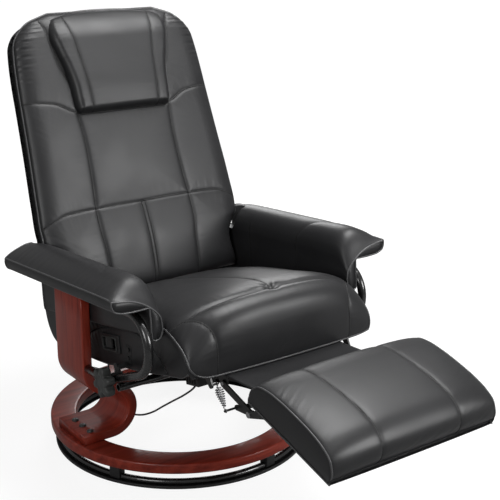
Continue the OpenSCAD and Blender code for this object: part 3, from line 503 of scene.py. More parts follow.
# ---- arm boards and seat frame ----
# Plywood: the boards that carry the arm pads are screwed down on the legs, and
# the seat's open frame is stained dark red underneath.
board_wood = lacquered("stained_board", (0.07, 0.012, 0.007), (0.15, 0.028, 0.015), turn=pi / 2)
frame_wood = lacquered("stained_frame", (0.06, 0.012, 0.008), (0.14, 0.03, 0.018))
clad(board_wood, "arm_board_right", "arm_board_left")
clad(frame_wood, "seat_frame")

# ---- elastic webbing ----
# Black straps woven with rubber, stretched and stapled across the seat frame and
# the back frame, each way in turn.
weave = surface("strap_weave", (0.02, 0.02, 0.02), 0.8)
tree = weave.node_tree
spot = wired(tree, "TexCoord").outputs["Object"]
waves = [wired(tree, "TexWave", {"Vector": spot, "Scale": 260.0}, wave_type="BANDS", bands_direction=d)
    for d in ("X", "Y")]
crossed = wired(tree, "Math", {0: waves[0].outputs["Fac"], 1: waves[1].outputs["Fac"]},
    operation="MULTIPLY")
tint = wired(tree, "Mix", {0: crossed.outputs[0], 6: (0.008, 0.008, 0.008, 1), 7: (0.035, 0.035, 0.036, 1)},
    data_type="RGBA")
raised = wired(tree, "Bump", {"Strength": 0.4, "Distance": 0.0006, "Height": crossed.outputs[0]})
tree.links.new(tint.outputs[2], tree.nodes["Principled BSDF"].inputs["Base Color"])
tree.links.new(raised.outputs[0], tree.nodes["Principled BSDF"].inputs["Normal"])
clad(weave, "seat_webbing", "back_webbing")

# ---- slide clamps and star knobs ----
# Folded steel yokes with a matt black coat carry the seat along the hoops. A
# moulded star knob on a stud pinches each yoke; its six lobes are rounded.
clad(black_paint, "back_hinges", "back_frame")
clad(black_plastic, "seat_slide_bracket_right", "seat_slide_bracket_left", "bracket_screws")
knob_profile = [(0.02, 0), (0.55, 0), (0.86, 0.02), (0.96, 0.1), (1, 0.25), (1, 0.75), (0.96, 0.9),
    (0.86, 0.98), (0.6, 1.0), (0.5, 0.93), (0.42, 0.93), (0.02, 0.95)]
clamp_axis = place_from_mm((0, -193, 280.2), -23.5)


def knob_point(i, j):
    reach, out = knob_profile[round(j * (len(knob_profile) - 1))]
    a = 2 * pi * i
    lobed = 30.5 + 6.8 * cos(6 * a) - 0.7 * cos(12 * a)
    r = reach * (lobed if reach > 0.7 else 30.5 + (lobed - 30.5) * reach)
    return 311.8 + 24 * out, r * cos(a), r * sin(a)


for side, sign in SIDES:
    knob = wrapped(120, len(knob_profile) - 1, knob_point)
    bmesh.ops.scale(knob, vec=(sign, 1, 1), verts=knob.verts)
    piece("star_knob_" + side, knob, grey_plastic, "knob_" + side, ["knob_" + side],
        clamp_axis)

# ---- leather ----
# Charcoal bonded leather with a soft sheen and a very fine pebble. Seams are
# turned and top stitched; along each groove between the panels the colour is
# darkened, partly for the dark thread and partly as painted shade in the groove.
hide_group, g_in, g_out = effect("leather_grain", Seam=0.0, Dark=BLACK, Light=WHITE)
spot = wired(hide_group, "TexCoord").outputs["Object"]
pebble = wired(hide_group, "TexVoronoi", {"Vector": spot, "Scale": 620.0}, feature="SMOOTH_F1")
clouds = wired(hide_group, "TexNoise", {"Vector": spot, "Scale": 9.0, "Detail": 4.0})
creases = wired(hide_group, "TexNoise", {"Vector": spot, "Scale": 46.0, "Detail": 5.0, "Distortion": 0.8})
tint = wired(hide_group, "Mix", {0: clouds.outputs["Fac"], 6: g_in["Dark"], 7: g_in["Light"]},
    data_type="RGBA")
# Near the seams the colour mixes to almost black: the dark thread plus painted shade in the seam groove.
lined = wired(hide_group, "Mix", {0: g_in["Seam"], 6: tint.outputs[2], 7: (0.004, 0.004, 0.004, 1)},
    data_type="RGBA")
sheen = wired(hide_group, "MapRange", {"Value": clouds.outputs["Fac"], "From Min": 0.3, "From Max": 0.7,
    "To Min": 0.37, "To Max": 0.47})
worn = wired(hide_group, "Math", {0: g_in["Seam"], 1: 0.35, 2: sheen.outputs[0]}, operation="MULTIPLY_ADD")
fold = wired(hide_group, "Math", {0: creases.outputs["Fac"], 1: 2.2, 2: pebble.outputs["Distance"]},
    operation="MULTIPLY_ADD")
give(hide_group, g_out, lined.outputs[2], worn.outputs[0], fold.outputs[0])

leather = surface("charcoal_leather", (0.04, 0.04, 0.042), 0.45)
tree = leather.node_tree
tree.nodes["Principled BSDF"].inputs["Specular IOR Level"].default_value = 0.4
# The seam attribute marks where painted groove shade darkens the leather.
seam_shade_mark = wired(tree, "Attribute", attribute_name="seam").outputs["Fac"]
dressed(leather, hide_group, {"Seam": seam_shade_mark, "Dark": (0.0125, 0.0125, 0.0133, 1),
    "Light": (0.018, 0.018, 0.0192, 1)}, 0.12, 0.0006)


def unit(x):
    """A share kept between 0 and 1."""
    return np.clip(x, 0, 1)


def flowing(x, xs, ys):
    """A smooth line through the given places, read at x."""
    xs, ys = np.array(xs, float), np.array(ys, float)
    slopes = np.gradient(ys, xs)
    i = np.clip(np.searchsorted(xs, x) - 1, 0, len(xs) - 2)
    h = xs[i + 1] - xs[i]
    t = unit((x - xs[i]) / h)
    return ((1 + 2 * t) * (1 - t) ** 2 * ys[i] + t * (1 - t) ** 2 * h * slopes[i]
        + t * t * (3 - 2 * t) * ys[i + 1] + t * t * (t - 1) * h * slopes[i + 1])


def seam_gap(u, v, lines):
    """How far each point of a flat pattern is from the nearest seam, and how far along that seam."""
    best = np.full(u.shape, 1e3)
    along = np.zeros(u.shape)
    for line in lines:
        run = 0.0
        for (a, b), (c, d) in zip(line, line[1:]):
            length = ((c - a) ** 2 + (d - b) ** 2) ** 0.5
            t = unit(((u - a) * (c - a) + (v - b) * (d - b)) / length ** 2)
            gap = np.hypot(u - a - t * (c - a), v - b - t * (d - b))
            nearer = gap < best
            best = np.where(nearer, gap, best)
            along = np.where(nearer, run + t * length, along)
            run += length
    return best, along


def stuffed(gap, rise, reach):
    """Height of filled leather at a distance from the seam that holds it down."""
    return rise * (1 - np.exp(-gap / reach))


def gathers(gap, along, height, pitch=17.0, reach=16.0, seed=0.0):
    """Small puckers that run away from a seam and die out."""
    wave = (np.sin(along * 2 * pi / pitch + 1.7 * np.sin(along / 23 + seed))
        + 0.6 * np.sin(along * 2 * pi / (pitch * 0.61) + seed * 2 + 2.1 * np.sin(along / 37)))
    calm = 0.5 + 0.5 * np.sin(along / 51 + seed)
    return height * wave * calm * (gap / reach) * np.exp(1 - gap / reach)


def slab(nx, ny, nz):
    """A block cut into a grid on every side."""
    bm = bmesh.new()
    bmesh.ops.create_cube(bm, size=2)
    for axis, cuts in ((0, nx - 1), (2, nz - 1), (1, ny - 1)):
        if cuts > 0:
            run = [e for e in bm.edges if abs((e.verts[0].co - e.verts[1].co).normalized()[axis]) > 0.99]
            bmesh.ops.subdivide_edges(bm, edges=run, cuts=cuts, use_grid_fill=True)
    return bm


def moulded(bm, where):
    """Shape a block of three shares: where(a, b, c) gives x, y, z and the seam mask, which darkens the
    leather along seams for the thread and painted groove shade.
    """
    shares = np.array([v.co for v in bm.verts])
    mark = bm.verts.layers.float.new("seam")
    for v, x, y, z, seam in zip(bm.verts, *where(shares[:, 0], shares[:, 1], shares[:, 2])):
        v.co = (x, y, z)
        v[mark] = seam
    return bm


def upholster(name, bm, where, body, nodes, matrix):
    """A padded leather piece."""
    made = piece(name, moulded(bm, where), leather, body, nodes, matrix)


def shoulder(edge, width):
    """Quarter round from a sewn edge up to the full thickness."""
    t = 1 - unit(edge / width)
    return np.sqrt(np.maximum(1 - t * t, 0))


def line_mask(gap, width):
    """1 on a stitched line, fading to 0 beside it."""
    return np.exp(-(gap / width) ** 2)


def curved(line):
    """A flat pattern line with its corners eased into a curve."""
    return [(p.x, p.y) for p in eased_route([(u, v, 0) for u, v in line], 6)]


def both_hands(lines):
    """The given seams on both sides of the middle."""
    lines = [curved(l) for l in lines]
    return lines + [[(-u, v) for u, v in l] for l in lines]


# Piping is a thin cord wrapped in the same leather and sewn into the edge seams. Its tone is lighter than
# the leather: a painted highlight along the round cord.
highlit_piping_leather = varied("highlit_piping_leather", (0.05, 0.05, 0.052), (0.08, 0.08, 0.082), 0.32, 0.46, scale=30)


def piped(name, points, matrix, body, radius=1.9, cyclic=False):
    """Piping along points given in the part's own millimetres."""
    run = [matrix @ Vector(p) for p in points]
    return drawn(name, run, radius / 1000, highlit_piping_leather, body, cyclic)


# Seam strands: a near black one for the thread plus painted shade in the groove, and a lighter one beside
# it whose tone is a painted highlight on the turned edge.
seam_shadow = varied("seam_shadow", (0.002, 0.002, 0.002), (0.005, 0.005, 0.005), 0.7, 0.9)
highlit_turned_edge = varied("highlit_turned_edge", (0.028, 0.028, 0.029), (0.045, 0.045, 0.046), 0.38, 0.48, scale=30)


def strand(bm, points, radius):
    """A thin six-sided strand added to a bmesh."""
    around = 6
    spokes = [2 * pi * k / around for k in range(around)]
    rings = []
    for i, p in enumerate(points):
        t = (points[min(i + 1, len(points) - 1)] - points[max(i - 1, 0)]).normalized()
        side = t.cross(Vector((0.31, 0.52, 0.8))).normalized()
        up = side.cross(t)
        rings.append([bm.verts.new(p + (side * cos(a) + up * sin(a)) * radius) for a in spokes])
    for r, s in zip(rings, rings[1:]):
        for k in range(around):
            bm.faces.new((r[k], r[k - 1], s[k - 1], s[k]))
    bm.faces.new(rings[0])
    bm.faces.new(rings[-1])


def sewn(name, lines, spot, matrix, body, fold=1):
    """Near black lines for the stitching thread and painted shade in each groove, each with a panel's
    turned edge beside it whose lighter tone paints its highlight; spot(u, v) gives the surface.
    """
    dark, pale = bmesh.new(), bmesh.new()
    for line in lines:
        flat = np.array(line, float)
        way = np.gradient(flat, axis=0)
        way /= np.maximum(np.linalg.norm(way, axis=1), 1e-6)[:, None]
        for bm, off, radius in ((dark, 0.0, 1.1), (pale, 1.6 * fold, 0.5)):
            x, y, z = spot(flat[:, 0] - way[:, 1] * off, flat[:, 1] + way[:, 0] * off)
            strand(bm, [Vector(p) for p in zip(x, y, z)], radius)
    piece(name + "_seams", dark, seam_shadow, body, matrix=matrix)
    piece(name + "_turned_edges", pale, highlit_turned_edge, body, matrix=matrix)


def edge_run(where, a, b, c):
    """Points of a shaped piece along one of its edges."""
    x, y, z = where(*(np.broadcast_to(np.asarray(q, float), np.broadcast(a, b, c).shape)
        for q in (a, b, c)))[:3]
    return list(zip(x, y, z))


# ---- seat cushion ----
# A deep foam block with a front roll over the frame's edge. The top has a middle
# seam that ends in a tuft on the cross seam, and the roll has a side panel at
# each end. It sits on the webbing, between the two side panels.
SEAT = place_from_mm((0, 20, 253), -11.7)
seat_half = 249
crown_path = [(-50, 92), (-50, 112), (-44, 124), (-22, 132), (40, 139), (120, 146), (220, 152), (320, 156),
    (390, 155), (425, 150), (445, 145), (461, 132), (471, 112), (475, 88), (473, 60), (467, 32), (460, 10),
    (455, -3)]
side_path = [(-50, 90), (-50, 95), (-46, 99), (-20, 102), (40, 103), (120, 103), (220, 103), (320, 104),
    (372, 103), (386, 99), (402, 90), (418, 79), (433, 67), (446, 52), (453, 38), (455, 22), (453, 8),
    (449, -2)]


def on_path(run, lengths, path):
    """Both coordinates at a length along the smooth line through a path."""
    return flowing(run, lengths, [p[0] for p in path]), flowing(run, lengths, [p[1] for p in path])


def path_length(path):
    """Length up to each point of a path."""
    run = [0.0]
    for (a, b), (c, d) in zip(path, path[1:]):
        run.append(run[-1] + ((c - a) ** 2 + (d - b) ** 2) ** 0.5)
    return run


seat_run = path_length(crown_path)
cross_at = seat_run[9] + 8
seat_seams = both_hands([
    [(0, cross_at), (110, cross_at - 1), (225, cross_at + 4), (252, cross_at - 6)],
    [(225, cross_at + 2), (203, cross_at + 26), (188, cross_at + 58), (182, cross_at + 100),
        (184, seat_run[-1])]])
seat_middle = [[(0, cross_at), (10, cross_at - 60), (14, cross_at - 150), (10, 0)]]


def seat_where(a, b, c):
    run = (c + 1) / 2 * seat_run[-1]
    (u0, w0), (u1, w1) = on_path(run, seat_run, crown_path), on_path(run, seat_run, side_path)
    front = unit((run - 200) / 160)
    full = unit(1 - np.abs(a) ** (4 - 1.2 * front)) ** (0.48 + 0.2 * front)
    x = seat_half * a
    u, w = u1 + (u0 - u1) * full, w1 + (w0 - w1) * full
    # direction that filling pushes the leather in: up on top, forward on the roll
    turn = unit((run - cross_at + 25) / 75)
    turn = turn * turn * (3 - 2 * turn) * 1.45
    gap, along = seam_gap(x, run, seat_seams)
    middle = seam_gap(x, run, seat_middle)[0]
    rise = stuffed(gap, 2.6, 4) + stuffed(gap, 2, 34) - 1.6 + np.minimum(0, stuffed(middle, 2.6, 6) - 2.6)
    # the roll stands up in front of the cross seam
    across = unit((232 - np.abs(x)) / 60)
    rise += across * (3.5 * np.exp(-((run - cross_at - 42) / 32) ** 2)
        - 4 * np.exp(-((run - cross_at) / 9) ** 2))
    rise += gathers(gap, along, 0.12, 21, 14)
    edge = np.minimum(seat_half - np.abs(x), seat_run[-1] - run)
    rise *= 1 - np.exp(-np.maximum(edge, 0) / 20)
    rise += gathers(np.maximum(edge, 0), run + x, 0.25, 19, 16, 1.3) * (run > cross_at)
    tuft = np.hypot(x, (run - cross_at) * 1.1)
    pleat = np.arctan2(run - cross_at, x)
    rise += -9 * np.exp(-(tuft / 11) ** 2) + (1.8 * np.sin(7 * pleat + 0.6) * (tuft / 16)
        * np.exp(1 - tuft / 16) * (run < cross_at + 10))
    face = (1 - b) / 2
    inset = np.where(b > 0.99, 12.0, 4 * (1 + b) / 2)
    u = (u + rise * np.sin(turn)) * face + (np.clip(u, -46, 441)) * (1 - face)
    w_top = w + rise * np.cos(turn)
    w = w_top * face + np.minimum(w - 1, np.where(u > 436, -2, 54.6)) * (1 - face)
    x = x - np.sign(a) * np.abs(a) ** 6 * inset * (1 - face)
    corner = unit((run - seat_run[-1] + 60) / 60) ** 2
    x = x * (1 - np.where(a < 0, 0.075, 0.01) * corner * np.abs(a) ** 3)
    lift = unit((np.abs(a) - 0.8) / 0.2) ** 2 * np.where(a < 0, 10, 3) * corner - 3 * corner * (1 - a * a)
    mask = np.maximum(line_mask(gap, 1.6), 0.8 * line_mask(middle, 1.4)) * (b < -0.5)
    return x, -u, w + lift, mask


upholster("seat_cushion_cover", slab(140, 2, 190), seat_where, "seat", ["seat_cushion"], SEAT)


def seat_spot(u, v):
    return seat_where(u / seat_half, np.full(len(u), -1.0), v / seat_run[-1] * 2 - 1)[:3]


sewn("seat_cushion", seat_seams + [curved(l) for l in seat_middle], seat_spot, SEAT, "seat", fold=-1)
span = np.linspace(-1, 1, 60)
seat_edge = (edge_run(seat_where, -1, -1, np.linspace(-0.95, 1, 90))
    + edge_run(seat_where, span, -1, 1)[1:]
    + edge_run(seat_where, 1, -1, np.linspace(1, -0.95, 90))[1:])
piped("seat_piping", seat_edge, SEAT, "seat", 2.2)

# ---- seat side panels ----
# Leather over a thin pad on each side of the seat, with one arched seam. Each is
# tacked to the frame, and piping covers its hem.
panel_top = ([-54, 200, 372, 386, 402, 418, 433, 443, 450], [96, 98, 100, 96, 87, 75, 62, 49, 34])
panel_low = ([-54, 0, 60, 104, 140, 250, 330, 400, 432, 450], [-1, -1, -5, -7, -5, -5, -1, 2, 5, 14])
panel_seam = [[(4, 12), (18, 44), (34, 61), (78, 76), (134, 85.6), (196, 88), (253, 82), (310, 62),
    (345, 34), (366, 4)]]


def panel_where(a, b, c):
    u = 198 + a * 252
    low, top = flowing(u, *panel_low), flowing(u, *panel_top)
    w = low + (c + 1) / 2 * (top - low)
    edge = np.minimum(np.minimum(top - w, w - low), np.minimum(450 - u, u + 54))
    gap, along = seam_gap(u, w, panel_seam)
    proud = (1 + stuffed(np.maximum(edge, 0), 3.4, 9) + np.minimum(0, stuffed(gap, 2.4, 9) - 2.4)
        + gathers(gap, along, 0.3, 15, 10))
    x = np.where(b < 0, seat_half + proud * (b < -0.5), 239.0)
    return x, -u, w, line_mask(gap, 1.3) * (b < -0.5)


for side, sign in SIDES:
    panel = slab(150, 1, 44)
    if sign < 0:
        # the lever's housing fills a hole in this panel
        middles = [(f, f.calc_center_median()) for f in panel.faces if abs(f.normal.y) > 0.9]
        holed = [f for f, m in middles if 98 < 198 + m.x * 252 < 164 and 28 < -5 + (m.z + 1) / 2 * 102 < 62]
        bmesh.ops.delete(panel, geom=holed, context="FACES")

    def panel_side(a, b, c, sign=sign):
        x, y, z, mask = panel_where(a, b, c)
        return x * sign, y, z, mask

    def panel_spot(u, w, sign=sign):
        return sign * (seat_half + 2.6 + 0 * u), -u, w

    upholster("seat_side_" + side, panel, panel_side, "seat", ["side_panel_" + side], SEAT)
    sewn("seat_side_" + side, [curved(l) for l in panel_seam], panel_spot, SEAT, "seat")
    piped("seat_side_hem_" + side, edge_run(panel_side, np.linspace(-1, 1, 60), -1, -1), SEAT, "seat", 1.5)

# ---- hand lever ----
# A moulded bezel in the sitter's right panel holds a hinged flap. Pulling the
# flap out lets the footrest and the back go.
def framed(u0, u1, w0, w1, radius, width, x_in, x_out):
    """A rounded rectangular rim: its own section, carried round the frame."""
    loop = rounded([(u0, w0), (u1, w0), (u1, w1), (u0, w1)], radius, 6)
    section = rounded([(0, x_in), (width, x_in), (width, x_out), (0, x_out)], 1.4, 3)
    middle = Vector(((u0 + u1) / 2, (w0 + w1) / 2))
    bm = bmesh.new()
    bmesh.ops.create_grid(bm, x_segments=len(section), y_segments=len(loop), size=1)
    for v in bm.verts:
        s = section[round((v.co.x + 1) / 2 * len(section)) % len(section)]
        p = Vector(loop[round((v.co.y + 1) / 2 * len(loop)) % len(loop)])
        half = Vector(((u1 - u0) / 2, (w1 - w0) / 2))
        inward = Vector(((p.x - middle.x) * (1 - s[0] / half.x), (p.y - middle.y) * (1 - s[0] / half.y)))
        q = middle + inward
        v.co = (-s[1], -q.x, q.y)
    return bm


bezel = framed(93, 178, 25, 69, 9, 9, 249, 256.5)
piece("lever_bezel", bezel, black_plastic, "seat", matrix=SEAT)
inner_rim = framed(99, 164, 29, 63, 6, 3, 249, 258)
piece("lever_inner_rim", inner_rim, grey_plastic, "seat", matrix=SEAT)
clad(black_plastic, "lever_housing")
flap_plastic = varied("flap_plastic", (0.035, 0.035, 0.035), (0.065, 0.065, 0.065), 0.3, 0.45)
clad(flap_plastic, "release_lever")

# ---- latch and footrest linkage ----
# The latch is a ribbed nylon box under the front of the frame. Flat bars of
# painted steel, riveted together, fold the footrest away under the seat.
clad(black_plastic, "latch_housing")
linkage_paint = varied("linkage_paint", (0.006, 0.006, 0.006), (0.016, 0.016, 0.016), 0.34, 0.5, bump=0.08,
    coat=0.2, coat_roughness=0.3)
clad(linkage_paint, "footrest_mounts", "spring_brackets", "footrest_arms", "footrest_cross_rod",
    "footrest_links", "footrest_brackets")
clad(bright_steel, "mount_pins", "elbow_pins", "link_end_pins")

# ---- footrest springs ----
# Tension springs of bright wire, widest near the top and hooked at both ends.
# They hold the footrest open and snap it shut past its middle.
spring_top, spring_low = Vector((-414, 317)), Vector((-446, 266))
spring_line = (spring_low - spring_top).normalized()
spring_side = Vector((-spring_line.y, spring_line.x))
spring_length = (spring_low - spring_top).length
for side, sign in SIDES:
    coils, turns, n = [], 9, 252
    for k in range(n + 1):
        t = k / n
        r = 8.4 * min(1, 0.3 + 4.5 * t, 0.3 + 1.1 * (1 - t))
        s = 7 + t * (spring_length - 16)
        a = 2 * pi * turns * t
        p = spring_top + spring_line * s + spring_side * (r * sin(a))
        coils.append(((175 + r * cos(a)) * sign, p.x, p.y))
    for end, root in ((0, spring_top), (-1, spring_low)):
        hook = [root + spring_line * (3.6 * cos(h)) + spring_side * (3.6 * sin(h))
            for h in [radians(40 * q) for q in range(8)]]
        loop = [(175 * sign, h.x, h.y) for h in hook]
        coils = loop[::-1] + coils if end == 0 else coils + loop
    run = [WORLD_MM @ Vector(p) for p in coils]
    shell = bent("coil", run, 0.0014, 2)
    baked = bpy.data.meshes.new_from_object(shell.evaluated_get(bpy.context.evaluated_depsgraph_get()))
    bpy.data.objects.remove(shell)
    bm = bmesh.new()
    bm.from_mesh(baked)
    bpy.data.meshes.remove(baked)
    bmesh.ops.scale(bm, vec=(1000, 1000, 1000), verts=bm.verts)
    coil = piece("tension_spring_" + side, bm, bright_steel, None)
    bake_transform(coil)
    if sign > 0:
        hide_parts("footrest_springs")

# ---- front apron ----
# A flap of the same leather, lined and hemmed, hides the linkage between the
# seat's front edge and the footrest. On the real chair it folds up when the
# footrest closes; here it is one fixed shape that rides on the seat.
def seat_yz(u, w):
    t = radians(11.7)
    return 20 - u * cos(t) + w * sin(t), 253 + u * sin(t) + w * cos(t)


def pad_yz(u, w):
    t = radians(16)
    return -582 - u * cos(t) - w * sin(t), 346 - u * sin(t) + w * cos(t)


apron_half = 160
apron_line = [seat_yz(436, -4), seat_yz(450, -6), pad_yz(-6, -1), pad_yz(18, -1)]


def apron_where(a, b, c):
    run = (c + 1) / 2 * 3
    y, z = on_path(run, [0, 1, 2, 3], apron_line)
    sag = -5 * np.sin(pi * unit((run - 0.8) / 1.4)) * (1 - 0.5 * a * a)
    edge = apron_half * (1 - np.abs(a))
    # The hem's stitch line goes into the seam mask, so it is darkened for its thread and as painted shade
    # in its groove.
    hem = 0.7 * line_mask(edge - 7, 1.0) * (b < 0)
    return apron_half * a, y, z + sag - 1.5 * (b + 1) - 0.8 * np.exp(-edge / 4), hem


apron = piece("leather_apron", moulded(slab(90, 1, 60), apron_where), leather, "seat",
    ["front_apron"])
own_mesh(apron)

# ---- footrest pad ----
# Foam on a plywood board, covered in three top panels with rounded side panels;
# piping runs round both side panels.
PAD = place_from_mm((0, -582, 346), 16)
pad_half = 216
pad_crown = [(-3, 12), (-6, 30), (-2, 47), (12, 61), (42, 74), (90, 81), (140, 83), (185, 81), (220, 75),
    (241, 64), (255, 49), (260, 33), (258, 17), (252, 5)]
pad_side = [(-1, 8), (-3, 21), (1, 35), (13, 49), (41, 60), (88, 66), (140, 67), (184, 65), (218, 59),
    (241, 50), (251, 38), (257, 26), (257, 14), (251, 5)]
pad_run = path_length(pad_crown)
pad_seams = [curved(l) for l in (
    [(-109, 0), (-106, 90), (-101, 160), (-97, 220), (-95, 290), (-97, pad_run[-1])],
    [(98, 0), (103, 90), (106, 160), (110, 220), (112, 290), (113, pad_run[-1])])]


def pad_where(a, b, c):
    run = (c + 1) / 2 * pad_run[-1]
    (u0, w0), (u1, w1) = on_path(run, pad_run, pad_crown), on_path(run, pad_run, pad_side)
    full = unit(1 - np.abs(a) ** 2.6) ** 0.6
    x = pad_half * a
    u, w = u1 + (u0 - u1) * full, w1 + (w0 - w1) * full
    gap, along = seam_gap(x, run, pad_seams)
    edge = np.maximum(np.minimum(pad_half - np.abs(x), np.minimum(run, pad_run[-1] - run)), 0)
    rise = ((stuffed(gap, 2, 4) + stuffed(gap, 1.6, 30) - 1.4 + gathers(gap, along, 0.1, 19, 12))
        * (1 - np.exp(-edge / 18)))
    rise += gathers(edge, run + 0.6 * x, 0.2, 21, 14, 0.7)
    (u2, w2), (u3, w3) = on_path(run + 4, pad_run, pad_crown), on_path(run - 4, pad_run, pad_crown)
    lean, drop = (u2 - u3) / 8, (w2 - w3) / 8
    face = (1 - b) / 2
    u, w = u - rise * drop * face, (w + rise * lean) * face
    bulge = 3.2 * np.sin(pi * unit(face)) * (np.abs(a) > 0.999)
    mask = line_mask(gap, 1.5) * (b < -0.5)
    return x + 2 + np.sign(a) * bulge, -u, w, mask


upholster("footrest_cover", slab(130, 8, 120), pad_where, "footrest", ["footrest_pad"], PAD)


def pad_spot(u, v):
    return pad_where(u / pad_half, np.full(len(u), -1.0), v / pad_run[-1] * 2 - 1)[:3]


sewn("footrest", pad_seams, pad_spot, PAD, "footrest")
# the plywood board under it, with rounded corners
board = bmesh.new()
bmesh.ops.create_cube(board, size=1)
bmesh.ops.scale(board, vec=(400, 178, 9), verts=board.verts)
bmesh.ops.translate(board, vec=(0, -151, -4.8), verts=board.verts)
bmesh.ops.bevel(board, geom=[e for e in board.edges if abs(e.verts[0].co.z - e.verts[1].co.z) > 5],
    affect="EDGES", offset=22, segments=6, profile=0.5, material=-1)
piece("footrest_board_cut", board, board_wood, "footrest", ["footrest_board"], PAD, faceted=True)
for side, sign in SIDES:
    rim = (edge_run(pad_where, sign, -1, np.linspace(-1, 1, 90))
        + edge_run(pad_where, sign, 1, np.linspace(1, -1, 40))[1:-1])
    piped("footrest_piping_" + side, rim, PAD, "footrest", 1.9, cyclic=True)

# ---- back shell ----
# Leather stretched over the back frame from the top edge down round the heel,
# open at the front where the cushion is tacked to it.
BACK = place_from_mm((0, 131, 345), -19.5)
shell_side_line = [(24, 700), (50, 699), (66, 688), (76, 664), (82, 560), (89, 420), (97, 250), (103, 120),
    (108, 30), (109, -12), (104, -44), (91, -70), (70, -88), (48, -98), (33, -101)]
shell_len = path_length(shell_side_line)


def shell_where(a, b, c):
    run = (1 - (c + 1) / 2) * shell_len[-1]
    y, z = on_path(run, shell_len, shell_side_line)
    half = flowing(z, [-110, 0, 100, 200, 300, 400, 500, 560, 630, 680, 705],
        [259, 258, 254, 252, 249, 247, 244, 241, 231, 204, 168])
    # one side is drawn a little tighter than the other
    half = half - (a < 0) * flowing(z, [-110, 60, 250, 450, 560, 680, 705], [0, 2, 4, 1, 3, 5, 5])
    # round the long corners and bring the front edges forward to the cushion
    turn = unit((np.abs(a) - 0.7) / 0.3)
    front = np.where(z > 14, 23.0, np.clip(16 + (14 - z) * 0.12, 16, 30))
    depth = np.clip(y - front, 0, None)
    r = flowing(z, [-110, 40, 160, 705], [12, 14, 38, 36]) * np.clip(depth / 40, 0.1, 1)
    bend = unit(turn / 0.6) * pi / 2
    x = np.sign(a) * np.where(turn > 0, half - r + r * np.sin(bend), (half - r) * np.abs(a) / 0.7)
    y = np.where(turn > 0, y - np.minimum(r, depth) * (1 - np.cos(bend)), y)
    y = y - unit((turn - 0.6) / 0.4) * np.clip(y - front, 0, None)
    inner = (b + 1) / 2 * 4.0
    return (x - np.sign(a) * inner, np.maximum(y - inner, 16), z - inner * np.clip(z / 700, -1, 1),
        np.zeros_like(x))


piece("back_cover", moulded(slab(70, 1, 110), shell_where), leather, "back", ["back_shell"],
    BACK)

# ---- back cushion ----
# The front of the back: wings, a middle panel, a stitched lumbar roll with a
# double sewn channel, all filled foam and fibre, edged with piping.
back_low, back_top = 12, 714
back_half = ([12, 118, 134, 152, 174, 250, 376, 490, 560, 620, 680, 715],
    [251, 251, 262, 280, 283, 281, 273, 267, 264, 260, 253, 249])
back_seams = both_hands([
    [(132, 462), (150, 468), (183, 486), (225, 494), (270, 497)],
    [(132, 455), (128, 410), (127, 367), (130, 290), (136, 219)],
    [(0, 220), (70, 221), (136, 220)],
    [(136, 220), (180, 219), (222, 216), (255, 205), (290, 188)],
    [(136, 216), (136, 164), (131, 115), (129, 62), (128, 10)],
    [(132, 458), (130, 526), (151, 572), (169, 656), (190, 720)],
    [(0, 458), (132, 458)]])
back_channel = [[(x, 219 - 9.0 * k) for k in range(24)] for x in (5, -5)]


def back_where(a, b, c):
    z = back_low + (c + 1) / 2 * (back_top - back_low)
    half = flowing(z, *back_half)
    x = a * half
    r = 56.0
    ca = unit((np.abs(x) - (half - r)) / r)
    cc = unit((z - (back_top - r)) / r)
    x = np.where(ca > 0, np.sign(x) * (half - r + r * ca * np.sqrt(1 - cc * cc / 2)), x)
    z = np.where(cc > 0, back_top - r + r * cc * np.sqrt(1 - ca * ca / 2), z)
    da = unit((np.abs(x) - (half - r)) / r)
    dc = unit((z - (back_top - r)) / r)
    edge = np.where((da > 0) & (dc > 0), r * (1 - np.hypot(da, dc)),
        np.minimum(half - np.abs(x), back_top - z))
    edge = np.maximum(edge, 0)
    # the top edge slopes down from the pillow to the shoulders
    z = z - 0.32 * np.maximum(np.abs(x) - 150, 0) * unit((z - 400) / 316) ** 2
    gap, along = seam_gap(x, z, back_seams)
    channel = seam_gap(x, z, back_channel)[0]
    # low down the cushion is squeezed between the arms, so its sides stand square
    square = unit((158 - z) / 30)
    rim = 20 + 14 * square
    proud = rim + (40 - rim) * shoulder(edge, 54 - 20 * square) + 4 * (1 - (x / 285) ** 2)
    proud += 7 * np.exp(-((z - 125) / 75) ** 2) * (1 - np.exp(-edge / 40))
    fill = stuffed(gap, 2.8, 4) + stuffed(gap, 2.6, 32) - 2.4 + gathers(gap, along, 0.08, 19, 12)
    fill += np.minimum(0, stuffed(channel, 3, 8) - 3) * unit((222 - z) / 10)
    proud += fill * (1 - np.exp(-edge / 22))
    proud += (gathers(edge, z + 0.7 * x, 0.12, 26, 18, 2.2)
        + gathers(edge, z, 0.75, 15, 13, 1.2) * unit((z - 480) / 60) * (np.abs(x) > 180))
    proud -= 14 * np.exp(-np.maximum(z - back_low, 0) / 18)
    lean = (b + 1) / 2
    y = np.where(b < -0.99, -proud, -rim + (22.0 + rim) * lean)
    # filled by hand, it sits a few millimetres to one side at mid height
    x = x + np.interp(z, [110, 170, 300, 560], [0, 3.2, 3, 0]) * unit(np.abs(x) / 150)
    # the cover tucks in behind the piping
    x = x - np.sign(a) * 13 * lean * (1 - square) * (np.abs(a) > 0.999)
    z = z - 5 * lean * (c > 0.999)
    mask = np.maximum(line_mask(gap, 1.6), 0.85 * line_mask(channel, 1.1) * (z < 220)) * (b < -0.99)
    return x, y, z, mask


upholster("back_cushion_cover", slab(210, 6, 260), back_where, "back", ["back_cushion"], BACK)


def back_spot(u, v):
    a, c = u / flowing(v, *back_half), (v - back_low) / (back_top - back_low) * 2 - 1
    for _ in range(4):
        x, y, z = back_where(a, np.full(len(u), -1.0), c)[:3]
        a, c = a + (u - x) / 280, c + (v - z) / 351
    return x, y, z


